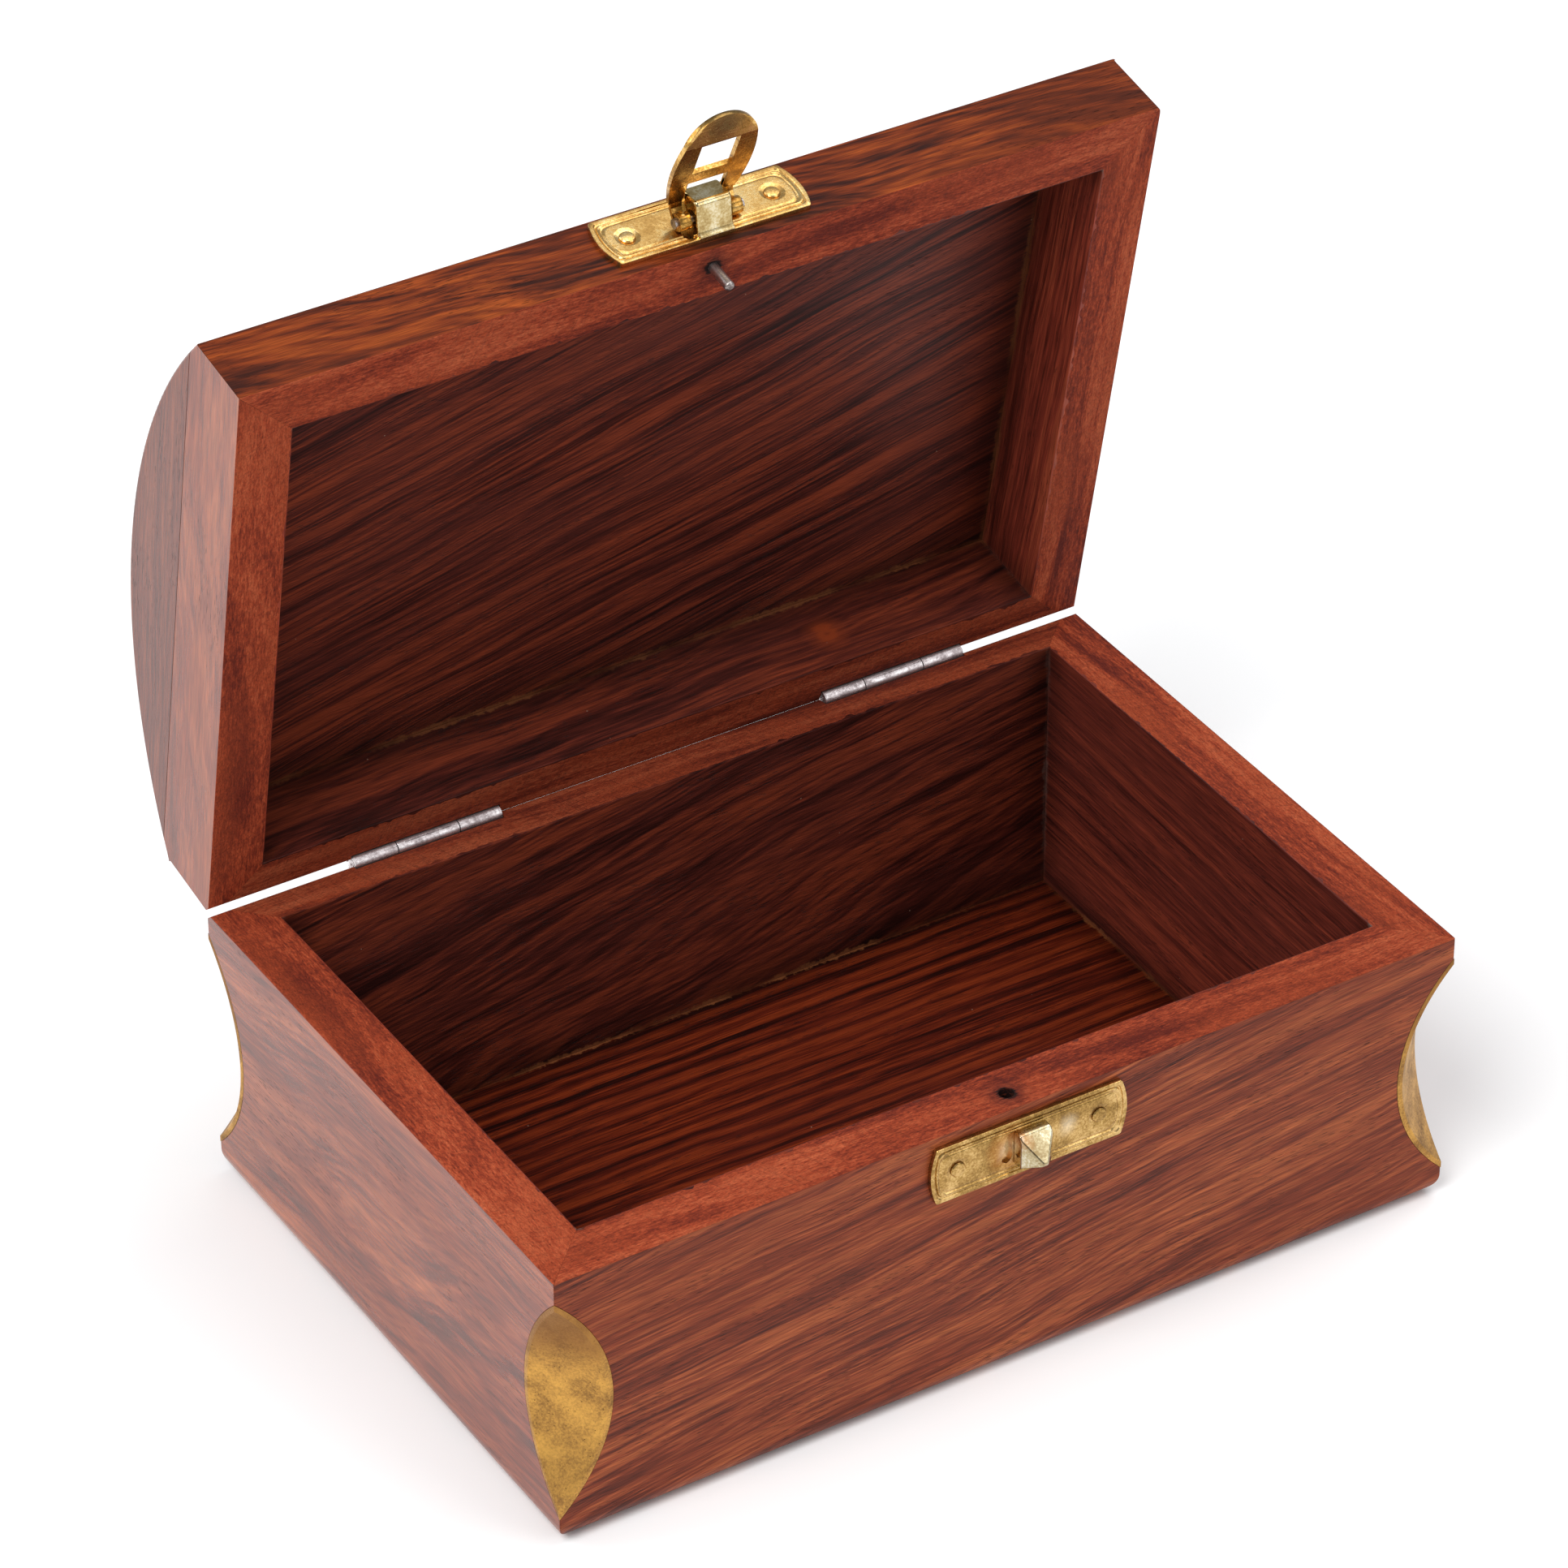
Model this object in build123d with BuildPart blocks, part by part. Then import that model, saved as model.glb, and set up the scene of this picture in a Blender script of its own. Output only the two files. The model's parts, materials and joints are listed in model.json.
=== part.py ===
"""Wooden trinket box with a domed lid, brass corner leaves, two butt hinges and a snap hasp.

Millimetres. The origin is the centre of the base's underside, +Z is up and -Y is the front.
Both halves are carpentered alike: four mitred walls, glued up and then shaped as one block, so
each wall is its own prism cut to the outer form of the whole half. The lid and the hasp are
drawn closed and then turned about their own axes into the open rest position.
"""

import os
from math import cos, radians, sin, sqrt, tan

from build123d import *

# The closed box
LENGTH = 152.4
DEPTH = 101.6
BASE_HEIGHT = 47.5
LID_HEIGHT = 28.5
RIM_GAP = 0.2

# Woodwork
WALL = 8.9
BACK_WALL = 7.0
FLOOR = 3.1
LID_FRAME = 14.2
DOME_EDGE = 12.6
FOOT_ROUND = 3.5
RIM_EASE = 0.4

# Scooped vertical corners, each faced with a sheet brass leaf
SCOOP_RADIUS = 32.0
SCOOP_DEPTH = 5.8
SCOOP_BELOW_RIM = 23.2
LEAF_SHEET = 0.7

# Groove planed along the back edges of both rims, deeper outside the hinges. Between the
# hinges its two edges meet a little past the open position, which is what stops the lid.
GROOVE_WIDTH = 1.3
GROOVE_END_DEPTH = 1.5
STOP_PLAY_ANGLE = 1.5

# How far a cutter runs past the face it cuts
OVERRUN = 1.0

# Hardware sits a little to the right of the middle
HARDWARE_X = 1.4
NAIL_RADIUS = 0.6
NAIL_LENGTH = 4.5
NAIL_HEAD_RADIUS = 1.2
NAIL_HEAD = 0.4
NAIL_HEAD_EDGE = 0.24

# Butt hinges
LID_OPEN_ANGLE = 79.0
HINGE_SPACING = 82.0
HINGE_LENGTH = 25.0
HINGE_SHEET = 0.8
KNUCKLE_RADIUS = 1.3
MIDDLE_KNUCKLE = 10.4
KNUCKLE_GAP = 0.1
HINGE_PIN_CLEARANCE = 0.04
LEAF_SHOULDER = 1.6
LEAF_REACH = 10.5
LEAF_CORNER = 1.0
HINGE_NAIL_SPACING = 17.0
KNUCKLE_NOTCH_PLAY = 0.2

# Hasp plate on the lid and catch plate on the base
PLATE_SHEET = 0.8
PLATE_LENGTH = 31.4
PLATE_HEIGHT = 9.7
PLATE_BOW = 1.0
PLATE_NAIL_SPACING = 24.0
HASP_PLATE_ABOVE_RIM = 6.7
CATCH_PLATE_BELOW_RIM = 6.7

# Bridge on the hasp plate: a pressed housing that carries the pin
BRIDGE_WIDTH = 5.9
BRIDGE_FOOT_LOW = 2.1
BRIDGE_FOOT_HIGH = 8.7
BRIDGE_TOP_LOW = 3.7
BRIDGE_TOP_HIGH = 7.9
BRIDGE_RISE = 6.0
BRIDGE_LID_SIDE_RISE = 5.6
BRIDGE_SHEET = 0.8
BRIDGE_BEND = 0.7

# Hasp, in its own plane: reach is measured along it from the pin's axis
HASP_SHEET = 0.8
HASP_OPEN_ANGLE = 80.0
HASP_CLOSED_LEAN = 5.0
HASP_PIN_ABOVE_RIM = 4.8
HASP_PIN_RADIUS = 0.75
HASP_PIN_CLEARANCE = 0.05
HASP_CRANK = 2.8
HASP_WIDTH = 13.2
HASP_ROOT_WIDTH = 10.8
HASP_CREASE_WIDTH = 12.0
HASP_BELLY = 9.0
HASP_SLOT_WIDTH = 6.6
HASP_WINDOW_WIDTH = 6.4
HASP_LEG_START = 1.2
HASP_CROSSBAR = 5.4
HASP_WINDOW_START = 7.7
HASP_WINDOW_END = 14.1
HASP_TIP_LENGTH = 5.0
HASP_EYE_RADIUS = 1.35
HASP_EYE_LENGTH = 1.9
HASP_EYE_PLAY = 0.15
HASP_PIN_OVERHANG = 0.5
TIP_BEND = 12.0

# Catch stud, which stands in the closed hasp's window: how far it stands out of the wood, and
# how far below the hasp pin its root, nose and shoulder are, because the hasp has to clear them
STUD_WIDTH = 5.4
STUD_NOSE = 5.2
STUD_NOSE_WIDTH = 1.2
STUD_LIP = 4.9
STUD_SHOULDER = 2.6
STUD_RAMP_FOOT = 2.2
STUD_ROOT_DROP = 8.5
STUD_RAMP_DROP = 8.7
STUD_NOSE_DROP = 12.7
STUD_LIP_DROP = 13.3
STUD_SHOULDER_DROP = 14.2
STUD_END_DROP = 14.4

# Steel locating pin in the lid's front rim and its hole in the base
LOCATOR_RADIUS = 0.8
LOCATOR_FROM_FRONT = 3.4
LOCATOR_SHOWS = 5.0
LOCATOR_SUNK = 8.0
LOCATOR_HOLE_RADIUS = 1.15
LOCATOR_HOLE_DEPTH = 6.0
LOCATOR_TIP = 0.5

# Derived places
half_length = LENGTH / 2
half_depth = DEPTH / 2
inner_x = half_length - WALL
inner_front = -half_depth + WALL
inner_back = half_depth - BACK_WALL
back_mitre_x = inner_x + BACK_WALL
lid_rim = BASE_HEIGHT + RIM_GAP
dome_rise = LID_HEIGHT - DOME_EDGE
dome_radius = (half_depth**2 + dome_rise**2) / (2 * dome_rise)
dome_centre_z = lid_rim + LID_HEIGHT - dome_radius
hinge_y = half_depth - KNUCKLE_RADIUS + HINGE_SHEET
hinge_z = BASE_HEIGHT + RIM_GAP / 2
stop_half_angle = radians((LID_OPEN_ANGLE + STOP_PLAY_ANGLE) / 2)
groove_depth = (half_depth - hinge_y) * tan(stop_half_angle) - RIM_GAP / 2
hinge_pin_radius = KNUCKLE_RADIUS - HINGE_SHEET - HINGE_PIN_CLEARANCE
hinge_centres = [HARDWARE_X - HINGE_SPACING / 2, HARDWARE_X + HINGE_SPACING / 2]
hasp_pin_out = PLATE_SHEET + HASP_EYE_PLAY + HASP_EYE_RADIUS
hasp_pin_y = -half_depth - hasp_pin_out
hasp_pin_z = lid_rim + HASP_PIN_ABOVE_RIM
locator_y = -half_depth + LOCATOR_FROM_FRONT
catch_plate_z = BASE_HEIGHT - CATCH_PLATE_BELOW_RIM
hasp_plate_z = lid_rim + HASP_PLATE_ABOVE_RIM

lid_hinge = Axis((0, hinge_y, hinge_z), (1, 0, 0))
hasp_hinge = Axis((0, hasp_pin_y, hasp_pin_z), (1, 0, 0))


def hand_over(part, name):
    """Label one finished piece and write its STEP file."""
    part.label = name
    export_step(part, f"parts/{name}.step")


def open_lid(part):
    """Turn a piece of the closed lid into the open rest position."""
    return part.rotate(lid_hinge, -LID_OPEN_ANGLE)


def profile_bar(points, start_x, length):
    """A bar along X whose section is given as (y, z) points."""
    with BuildPart() as bar:
        with BuildSketch(Plane.YZ.offset(start_x)):
            Polygon(*points, align=None)
        extrude(amount=length)
    return bar.part


def rod(radius, centre, direction, length):
    """A round rod that starts at centre and runs along direction."""
    with BuildPart() as bar:
        with BuildSketch(Plane(origin=centre, z_dir=direction)):
            Circle(radius)
        extrude(amount=length)
    return bar.part


def corner_scoop(side_x, side_y, radius):
    """The round bar that scoops one vertical corner, its axis across the corner's diagonal."""
    reach = (SCOOP_RADIUS - SCOOP_DEPTH) / sqrt(2)
    centre = (
        side_x * (half_length + reach),
        side_y * (half_depth + reach),
        BASE_HEIGHT - SCOOP_BELOW_RIM,
    )
    across = Plane(origin=centre, x_dir=(0, 0, 1), z_dir=(side_y, -side_x, 0))
    with BuildPart() as bar:
        with BuildSketch(across):
            Circle(radius)
        extrude(amount=2 * SCOOP_RADIUS, both=True)
    return bar.part


def back_groove(rim_z, up):
    """The material planed off one rim's back edge; up is 1 for the lid and -1 for the base."""

    def wedge(depth):
        edge = half_depth - GROOVE_WIDTH
        past = OVERRUN * depth / GROOVE_WIDTH
        return [
            (edge, rim_z),
            (half_depth + OVERRUN, rim_z + up * (depth + past)),
            (half_depth + OVERRUN, rim_z - up * OVERRUN),
            (edge, rim_z - up * OVERRUN),
        ]

    left_end = hinge_centres[0] - HINGE_LENGTH / 2
    right_end = hinge_centres[1] + HINGE_LENGTH / 2
    return [
        profile_bar(wedge(groove_depth), -half_length - OVERRUN, LENGTH + 2 * OVERRUN),
        profile_bar(wedge(GROOVE_END_DEPTH), -half_length - OVERRUN, left_end + half_length + OVERRUN),
        profile_bar(wedge(GROOVE_END_DEPTH), right_end, half_length - right_end + OVERRUN),
    ]


def knuckle_notches(rim_z, up):
    """Clearance for the two hinge barrels in one rim."""
    reach = KNUCKLE_RADIUS + KNUCKLE_NOTCH_PLAY
    low_y = hinge_y - reach
    depth = up * (reach + RIM_GAP / 2)
    section = [
        (low_y, rim_z - up * OVERRUN),
        (low_y, rim_z + depth),
        (half_depth + OVERRUN, rim_z + depth),
        (half_depth + OVERRUN, rim_z - up * OVERRUN),
    ]
    length = HINGE_LENGTH + 2 * KNUCKLE_NOTCH_PLAY
    return [profile_bar(section, centre - length / 2, length) for centre in hinge_centres]


def hinge_nail_spots(centre, up):
    """Where the two nails of one hinge leaf meet the back face."""
    middle = hinge_z + up * (LEAF_SHOULDER + LEAF_REACH) / 2
    offset = HINGE_NAIL_SPACING / 2
    return [(centre - offset, half_depth, middle), (centre + offset, half_depth, middle)]


def plate_nail_spots(plate_z):
    """Where the two nails of one front plate meet the front face."""
    offset = PLATE_NAIL_SPACING / 2
    return [
        (HARDWARE_X - offset, -half_depth, plate_z),
        (HARDWARE_X + offset, -half_depth, plate_z),
    ]


def nail(spot, out, sheet):
    """One nail through a sheet: its shank goes into the wood against out (0, out, 0)."""
    shank_end = (spot[0], spot[1] - out * NAIL_LENGTH, spot[2])
    seat = (spot[0], spot[1] + out * sheet, spot[2])
    with BuildPart() as one:
        with BuildSketch(Plane(origin=shank_end, z_dir=(0, out, 0))):
            Circle(NAIL_RADIUS)
        extrude(amount=NAIL_LENGTH + sheet)
        with BuildSketch(Plane(origin=seat, z_dir=(0, out, 0))):
            Circle(NAIL_HEAD_RADIUS)
        extrude(amount=NAIL_HEAD)
        outer_rim = one.edges().filter_by(GeomType.CIRCLE).sort_by(Axis.Y, reverse=out < 0)[-1]
        fillet(outer_rim, radius=NAIL_HEAD_EDGE)
    return one.part


def nail_holes(spots, out, sheet):
    """The holes that a plate's nails fill in the sheet and in the wood behind it."""
    ends = [(x, y - out * NAIL_LENGTH, z) for x, y, z in spots]
    return [rod(NAIL_RADIUS, end, (0, out, 0), NAIL_LENGTH + sheet) for end in ends]


# Cutters shared by the pieces
base_hinge_nails = [spot for x in hinge_centres for spot in hinge_nail_spots(x, -1)]
lid_hinge_nails = [spot for x in hinge_centres for spot in hinge_nail_spots(x, 1)]
catch_nails = plate_nail_spots(catch_plate_z)
hasp_nails = plate_nail_spots(hasp_plate_z)
corners = {
    "front_left": (-1, -1),
    "front_right": (1, -1),
    "back_left": (-1, 1),
    "back_right": (1, 1),
}
leaf_beds = [corner_scoop(x, y, SCOOP_RADIUS + LEAF_SHEET) for x, y in corners.values()]
base_cuts = leaf_beds + back_groove(BASE_HEIGHT, -1) + knuckle_notches(BASE_HEIGHT, -1)
base_cuts += nail_holes(base_hinge_nails, 1, HINGE_SHEET)
base_cuts += nail_holes(catch_nails, -1, PLATE_SHEET)
base_cuts.append(rod(LOCATOR_HOLE_RADIUS, (0, locator_y, BASE_HEIGHT), (0, 0, -1), LOCATOR_HOLE_DEPTH))
lid_cuts = back_groove(lid_rim, 1) + knuckle_notches(lid_rim, 1)
lid_cuts += nail_holes(lid_hinge_nails, 1, HINGE_SHEET)
lid_cuts += nail_holes(hasp_nails, -1, PLATE_SHEET)
lid_cuts.append(rod(LOCATOR_RADIUS, (0, locator_y, lid_rim), (0, 0, 1), LOCATOR_SUNK))

# Outer form of the base: rounded along its foot, scooped at its corners
with BuildPart() as base_form:
    with BuildSketch():
        Rectangle(LENGTH, DEPTH)
    extrude(amount=BASE_HEIGHT)
    fillet(base_form.faces().sort_by(Axis.Z)[0].edges(), radius=FOOT_ROUND)
    chamfer(base_form.faces().sort_by(Axis.Z)[-1].edges().sort_by(Axis.Y)[:-1], length=RIM_EASE)
    add(base_cuts, mode=Mode.SUBTRACT)

# Outer form of the lid: the dome's arc runs the whole length
with BuildPart() as lid_form:
    with BuildSketch(Plane.YZ.offset(-half_length)):
        with Locations((0, dome_centre_z)):
            Circle(dome_radius)
        with Locations((0, lid_rim + LID_HEIGHT / 2)):
            Rectangle(DEPTH, LID_HEIGHT, mode=Mode.INTERSECT)
    extrude(amount=LENGTH)
    chamfer(lid_form.faces().sort_by(Axis.Z)[0].edges().sort_by(Axis.Y)[:-1], length=RIM_EASE)
    add(lid_cuts, mode=Mode.SUBTRACT)

# Plan of each mitred wall; the back mitres meet a thinner back wall
wall_plans = {
    "front_wall": [
        (-half_length, -half_depth),
        (half_length, -half_depth),
        (inner_x, inner_front),
        (-inner_x, inner_front),
    ],
    "back_wall": [
        (-inner_x, inner_back),
        (inner_x, inner_back),
        (back_mitre_x, half_depth),
        (-back_mitre_x, half_depth),
    ],
}
for side, sign in (("right_wall", 1), ("left_wall", -1)):
    wall_plans[side] = [
        (sign * half_length, -half_depth),
        (sign * half_length, half_depth),
        (sign * back_mitre_x, half_depth),
        (sign * inner_x, inner_back),
        (sign * inner_x, inner_front),
    ]

os.makedirs("parts", exist_ok=True)

for name, plan in wall_plans.items():
    with BuildPart() as base_wall:
        with BuildSketch():
            Polygon(*plan, align=None)
        extrude(amount=BASE_HEIGHT)
        add(base_form.part, mode=Mode.INTERSECT)
    hand_over(base_wall.part, f"base_{name}")

    with BuildPart() as lid_wall:
        with BuildSketch(Plane.XY.offset(lid_rim)):
            Polygon(*plan, align=None)
        extrude(amount=LID_FRAME)
        add(lid_form.part, mode=Mode.INTERSECT)
    hand_over(open_lid(lid_wall.part), f"lid_{name}")

# Floor board, glued between the walls
with BuildPart() as base_floor:
    with BuildSketch():
        with Locations((0, (inner_front + inner_back) / 2)):
            Rectangle(2 * inner_x, inner_back - inner_front)
    extrude(amount=FLOOR)
hand_over(base_floor.part, "base_floor")

# Domed board on top of the lid's frame
with BuildPart() as lid_top:
    with BuildSketch(Plane.XY.offset(lid_rim + LID_FRAME)):
        Rectangle(LENGTH, DEPTH)
    extrude(amount=LID_HEIGHT - LID_FRAME)
    add(lid_form.part, mode=Mode.INTERSECT)
hand_over(open_lid(lid_top.part), "lid_top")

# Brass leaves: the skin between the bed's radius and the finished scoop
for corner, (side_x, side_y) in corners.items():
    bed = corner_scoop(side_x, side_y, SCOOP_RADIUS + LEAF_SHEET)
    finished = corner_scoop(side_x, side_y, SCOOP_RADIUS)
    with BuildPart() as corner_leaf:
        with BuildSketch():
            Rectangle(LENGTH, DEPTH)
        extrude(amount=BASE_HEIGHT)
        add(bed, mode=Mode.INTERSECT)
        add(finished, mode=Mode.SUBTRACT)
    hand_over(corner_leaf.part, f"corner_leaf_{corner}")


def hinge_leaf(centre, up):
    """One leaf: a sheet on the back face, tabs past its shoulder and knuckles round the pin.

    The base leaf (up = -1) has the two outer knuckles, which grip the pin, and the lid leaf
    (up = 1) has the middle one, which turns on it.
    """
    outer = (HINGE_LENGTH - MIDDLE_KNUCKLE) / 2 - KNUCKLE_GAP
    if up > 0:
        spans = [(centre - MIDDLE_KNUCKLE / 2, MIDDLE_KNUCKLE)]
    else:
        spans = [(centre - HINGE_LENGTH / 2, outer), (centre + HINGE_LENGTH / 2 - outer, outer)]
    back = half_depth + HINGE_SHEET
    shoulder_z = hinge_z + up * LEAF_SHOULDER
    end_z = hinge_z + up * LEAF_REACH
    sheet = [(half_depth, shoulder_z), (back, shoulder_z), (back, end_z), (half_depth, end_z)]
    tab = [(half_depth, hinge_z), (back, hinge_z), (back, shoulder_z), (half_depth, shoulder_z)]
    holes = nail_holes(hinge_nail_spots(centre, up), 1, HINGE_SHEET)
    tabs = [profile_bar(tab, start, length) for start, length in spans]
    knuckles = [rod(KNUCKLE_RADIUS, (start, hinge_y, hinge_z), (1, 0, 0), length)
                for start, length in spans]
    bore_radius = hinge_pin_radius + (HINGE_PIN_CLEARANCE if up > 0 else 0)
    bore_start = (centre - HINGE_LENGTH / 2 - OVERRUN, hinge_y, hinge_z)
    bore = rod(bore_radius, bore_start, (1, 0, 0), HINGE_LENGTH + 2 * OVERRUN)
    with BuildPart() as leaf:
        add(profile_bar(sheet, centre - HINGE_LENGTH / 2, HINGE_LENGTH))
        corner_edges = leaf.edges().filter_by(Axis.Y).group_by(Axis.Z)[-1 if up > 0 else 0]
        fillet(corner_edges, radius=LEAF_CORNER)
        add(tabs + knuckles)
        add([bore] + holes, mode=Mode.SUBTRACT)
    return leaf.part


# Hinges: leaves, pins and nails
for side, centre in zip(("left", "right"), hinge_centres):
    hand_over(hinge_leaf(centre, -1), f"hinge_{side}_lower_leaf")
    hand_over(open_lid(hinge_leaf(centre, 1)), f"hinge_{side}_upper_leaf")
    with BuildPart() as hinge_pin:
        with BuildSketch(Plane(origin=(centre, hinge_y, hinge_z), z_dir=(1, 0, 0))):
            Circle(hinge_pin_radius)
        extrude(amount=HINGE_LENGTH / 2, both=True)
    hand_over(hinge_pin.part, f"hinge_{side}_pin")
    lower = [nail(spot, 1, HINGE_SHEET) for spot in hinge_nail_spots(centre, -1)]
    upper = [nail(spot, 1, HINGE_SHEET) for spot in hinge_nail_spots(centre, 1)]
    hand_over(Compound(lower), f"hinge_{side}_lower_nails")
    hand_over(open_lid(Compound(upper)), f"hinge_{side}_upper_nails")


def front_plate(plate_z, holes):
    """A sheet plate with bowed ends, nailed on the front face."""
    half_plate = PLATE_LENGTH / 2
    half_high = PLATE_HEIGHT / 2
    front = Plane(origin=(HARDWARE_X, -half_depth, plate_z), x_dir=(1, 0, 0), z_dir=(0, -1, 0))
    with BuildPart() as plate:
        with BuildSketch(front):
            with BuildLine():
                Line((-half_plate, -half_high), (half_plate, -half_high))
                ThreePointArc((half_plate, -half_high), (half_plate + PLATE_BOW, 0),
                              (half_plate, half_high))
                Line((half_plate, half_high), (-half_plate, half_high))
                ThreePointArc((-half_plate, half_high), (-half_plate - PLATE_BOW, 0),
                              (-half_plate, -half_high))
            make_face()
        extrude(amount=PLATE_SHEET)
        add(holes, mode=Mode.SUBTRACT)
    return plate.part


hasp_plate = front_plate(hasp_plate_z, nail_holes(hasp_nails, -1, PLATE_SHEET))
hand_over(open_lid(hasp_plate), "hasp_plate")
hand_over(open_lid(Compound([nail(s, -1, PLATE_SHEET) for s in hasp_nails])), "hasp_plate_nails")
catch_plate = front_plate(catch_plate_z, nail_holes(catch_nails, -1, PLATE_SHEET))
hand_over(catch_plate, "catch_plate")
hand_over(Compound([nail(s, -1, PLATE_SHEET) for s in catch_nails]), "catch_plate_nails")

# Catch stud: a folded nose whose ramp leads the hasp's window over it
stud_section = Plane(origin=(HARDWARE_X, -half_depth, hasp_pin_z), x_dir=(0, -1, 0), z_dir=(-1, 0, 0))
stud_plan = Plane(origin=(HARDWARE_X, -half_depth, catch_plate_z), x_dir=(1, 0, 0), z_dir=(0, 0, -1))
with BuildPart() as catch_stud:
    with BuildSketch(stud_section):
        Polygon(
            (PLATE_SHEET, -STUD_ROOT_DROP),
            (STUD_RAMP_FOOT, -STUD_RAMP_DROP),
            (STUD_NOSE, -STUD_NOSE_DROP),
            (STUD_LIP, -STUD_LIP_DROP),
            (STUD_SHOULDER, -STUD_SHOULDER_DROP),
            (PLATE_SHEET, -STUD_END_DROP),
            align=None,
        )
    extrude(amount=STUD_WIDTH / 2, both=True)
    with BuildSketch(stud_plan):
        Polygon(
            (-STUD_WIDTH / 2, PLATE_SHEET),
            (-STUD_WIDTH / 2, STUD_SHOULDER),
            (-STUD_NOSE_WIDTH / 2, STUD_NOSE),
            (STUD_NOSE_WIDTH / 2, STUD_NOSE),
            (STUD_WIDTH / 2, STUD_SHOULDER),
            (STUD_WIDTH / 2, PLATE_SHEET),
            align=None,
        )
    extrude(amount=PLATE_HEIGHT, both=True, mode=Mode.INTERSECT)
hand_over(catch_stud.part, "catch_stud")

# Bridge: a pressed housing, hollow towards its plate, with a hole for the pin in each cheek
bridge_side = Plane(origin=(HARDWARE_X, -half_depth, lid_rim), x_dir=(0, -1, 0), z_dir=(-1, 0, 0))
with BuildPart() as hasp_bridge:
    with BuildSketch(bridge_side):
        Polygon(
            (PLATE_SHEET, BRIDGE_FOOT_LOW),
            (BRIDGE_RISE, BRIDGE_TOP_LOW),
            (BRIDGE_LID_SIDE_RISE, BRIDGE_TOP_HIGH),
            (PLATE_SHEET, BRIDGE_FOOT_HIGH),
            align=None,
        )
    extrude(amount=BRIDGE_WIDTH / 2, both=True)
    fillet(hasp_bridge.edges().filter_by(Axis.X).sort_by(Axis.Y)[:2], radius=BRIDGE_BEND)
    with BuildSketch(bridge_side):
        Polygon(
            (PLATE_SHEET, BRIDGE_FOOT_LOW + BRIDGE_SHEET),
            (BRIDGE_RISE - BRIDGE_SHEET, BRIDGE_TOP_LOW + BRIDGE_SHEET),
            (BRIDGE_LID_SIDE_RISE - BRIDGE_SHEET, BRIDGE_TOP_HIGH - BRIDGE_SHEET),
            (PLATE_SHEET, BRIDGE_FOOT_HIGH - BRIDGE_SHEET),
            align=None,
        )
    extrude(amount=BRIDGE_WIDTH / 2 - BRIDGE_SHEET, both=True, mode=Mode.SUBTRACT)
    with BuildSketch(bridge_side):
        with Locations((hasp_pin_out, HASP_PIN_ABOVE_RIM)):
            Circle(HASP_PIN_RADIUS + HASP_PIN_CLEARANCE)
    extrude(amount=BRIDGE_WIDTH, both=True, mode=Mode.SUBTRACT)
hand_over(open_lid(hasp_bridge.part), "hasp_bridge")

def hasp_lug(start_x):
    """The cranked strap that joins one leg of the hasp to its eye on the pin."""
    leg_root = (hasp_pin_y - HASP_CRANK, hasp_pin_z - HASP_LEG_START - HASP_SHEET)
    with BuildPart() as lug:
        with BuildSketch(Plane.YZ.offset(start_x)):
            with Locations((hasp_pin_y, hasp_pin_z)):
                Circle(HASP_EYE_RADIUS)
            with Locations(leg_root):
                Rectangle(HASP_SHEET, 2 * HASP_SHEET)
            make_hull()
        extrude(amount=HASP_EYE_LENGTH)
    return lug.part


# Hasp: drawn hanging flat from its pin, leaned in by the closed angle, then swung open
hasp_flat = Plane(
    origin=(HARDWARE_X, hasp_pin_y - HASP_CRANK + HASP_SHEET / 2, hasp_pin_z),
    x_dir=(1, 0, 0),
    z_dir=(0, -1, 0),
)
eye_starts = [HARDWARE_X - HASP_SLOT_WIDTH / 2 - HASP_EYE_LENGTH, HARDWARE_X + HASP_SLOT_WIDTH / 2]
bore_start = (HARDWARE_X - HASP_WIDTH / 2, hasp_pin_y, hasp_pin_z)
eye_bore = rod(HASP_PIN_RADIUS, bore_start, (1, 0, 0), HASP_WIDTH)
lugs = [hasp_lug(start) for start in eye_starts]
half_hasp = HASP_WIDTH / 2
half_root = HASP_ROOT_WIDTH / 2
half_crease = HASP_CREASE_WIDTH / 2
half_slot = HASP_SLOT_WIDTH / 2
tip_lean = radians(TIP_BEND)
hasp_tip = Plane(
    origin=hasp_flat.origin - Vector(0, 0, HASP_WINDOW_END),
    x_dir=(1, 0, 0),
    z_dir=(0, -cos(tip_lean), sin(tip_lean)),
)
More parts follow.
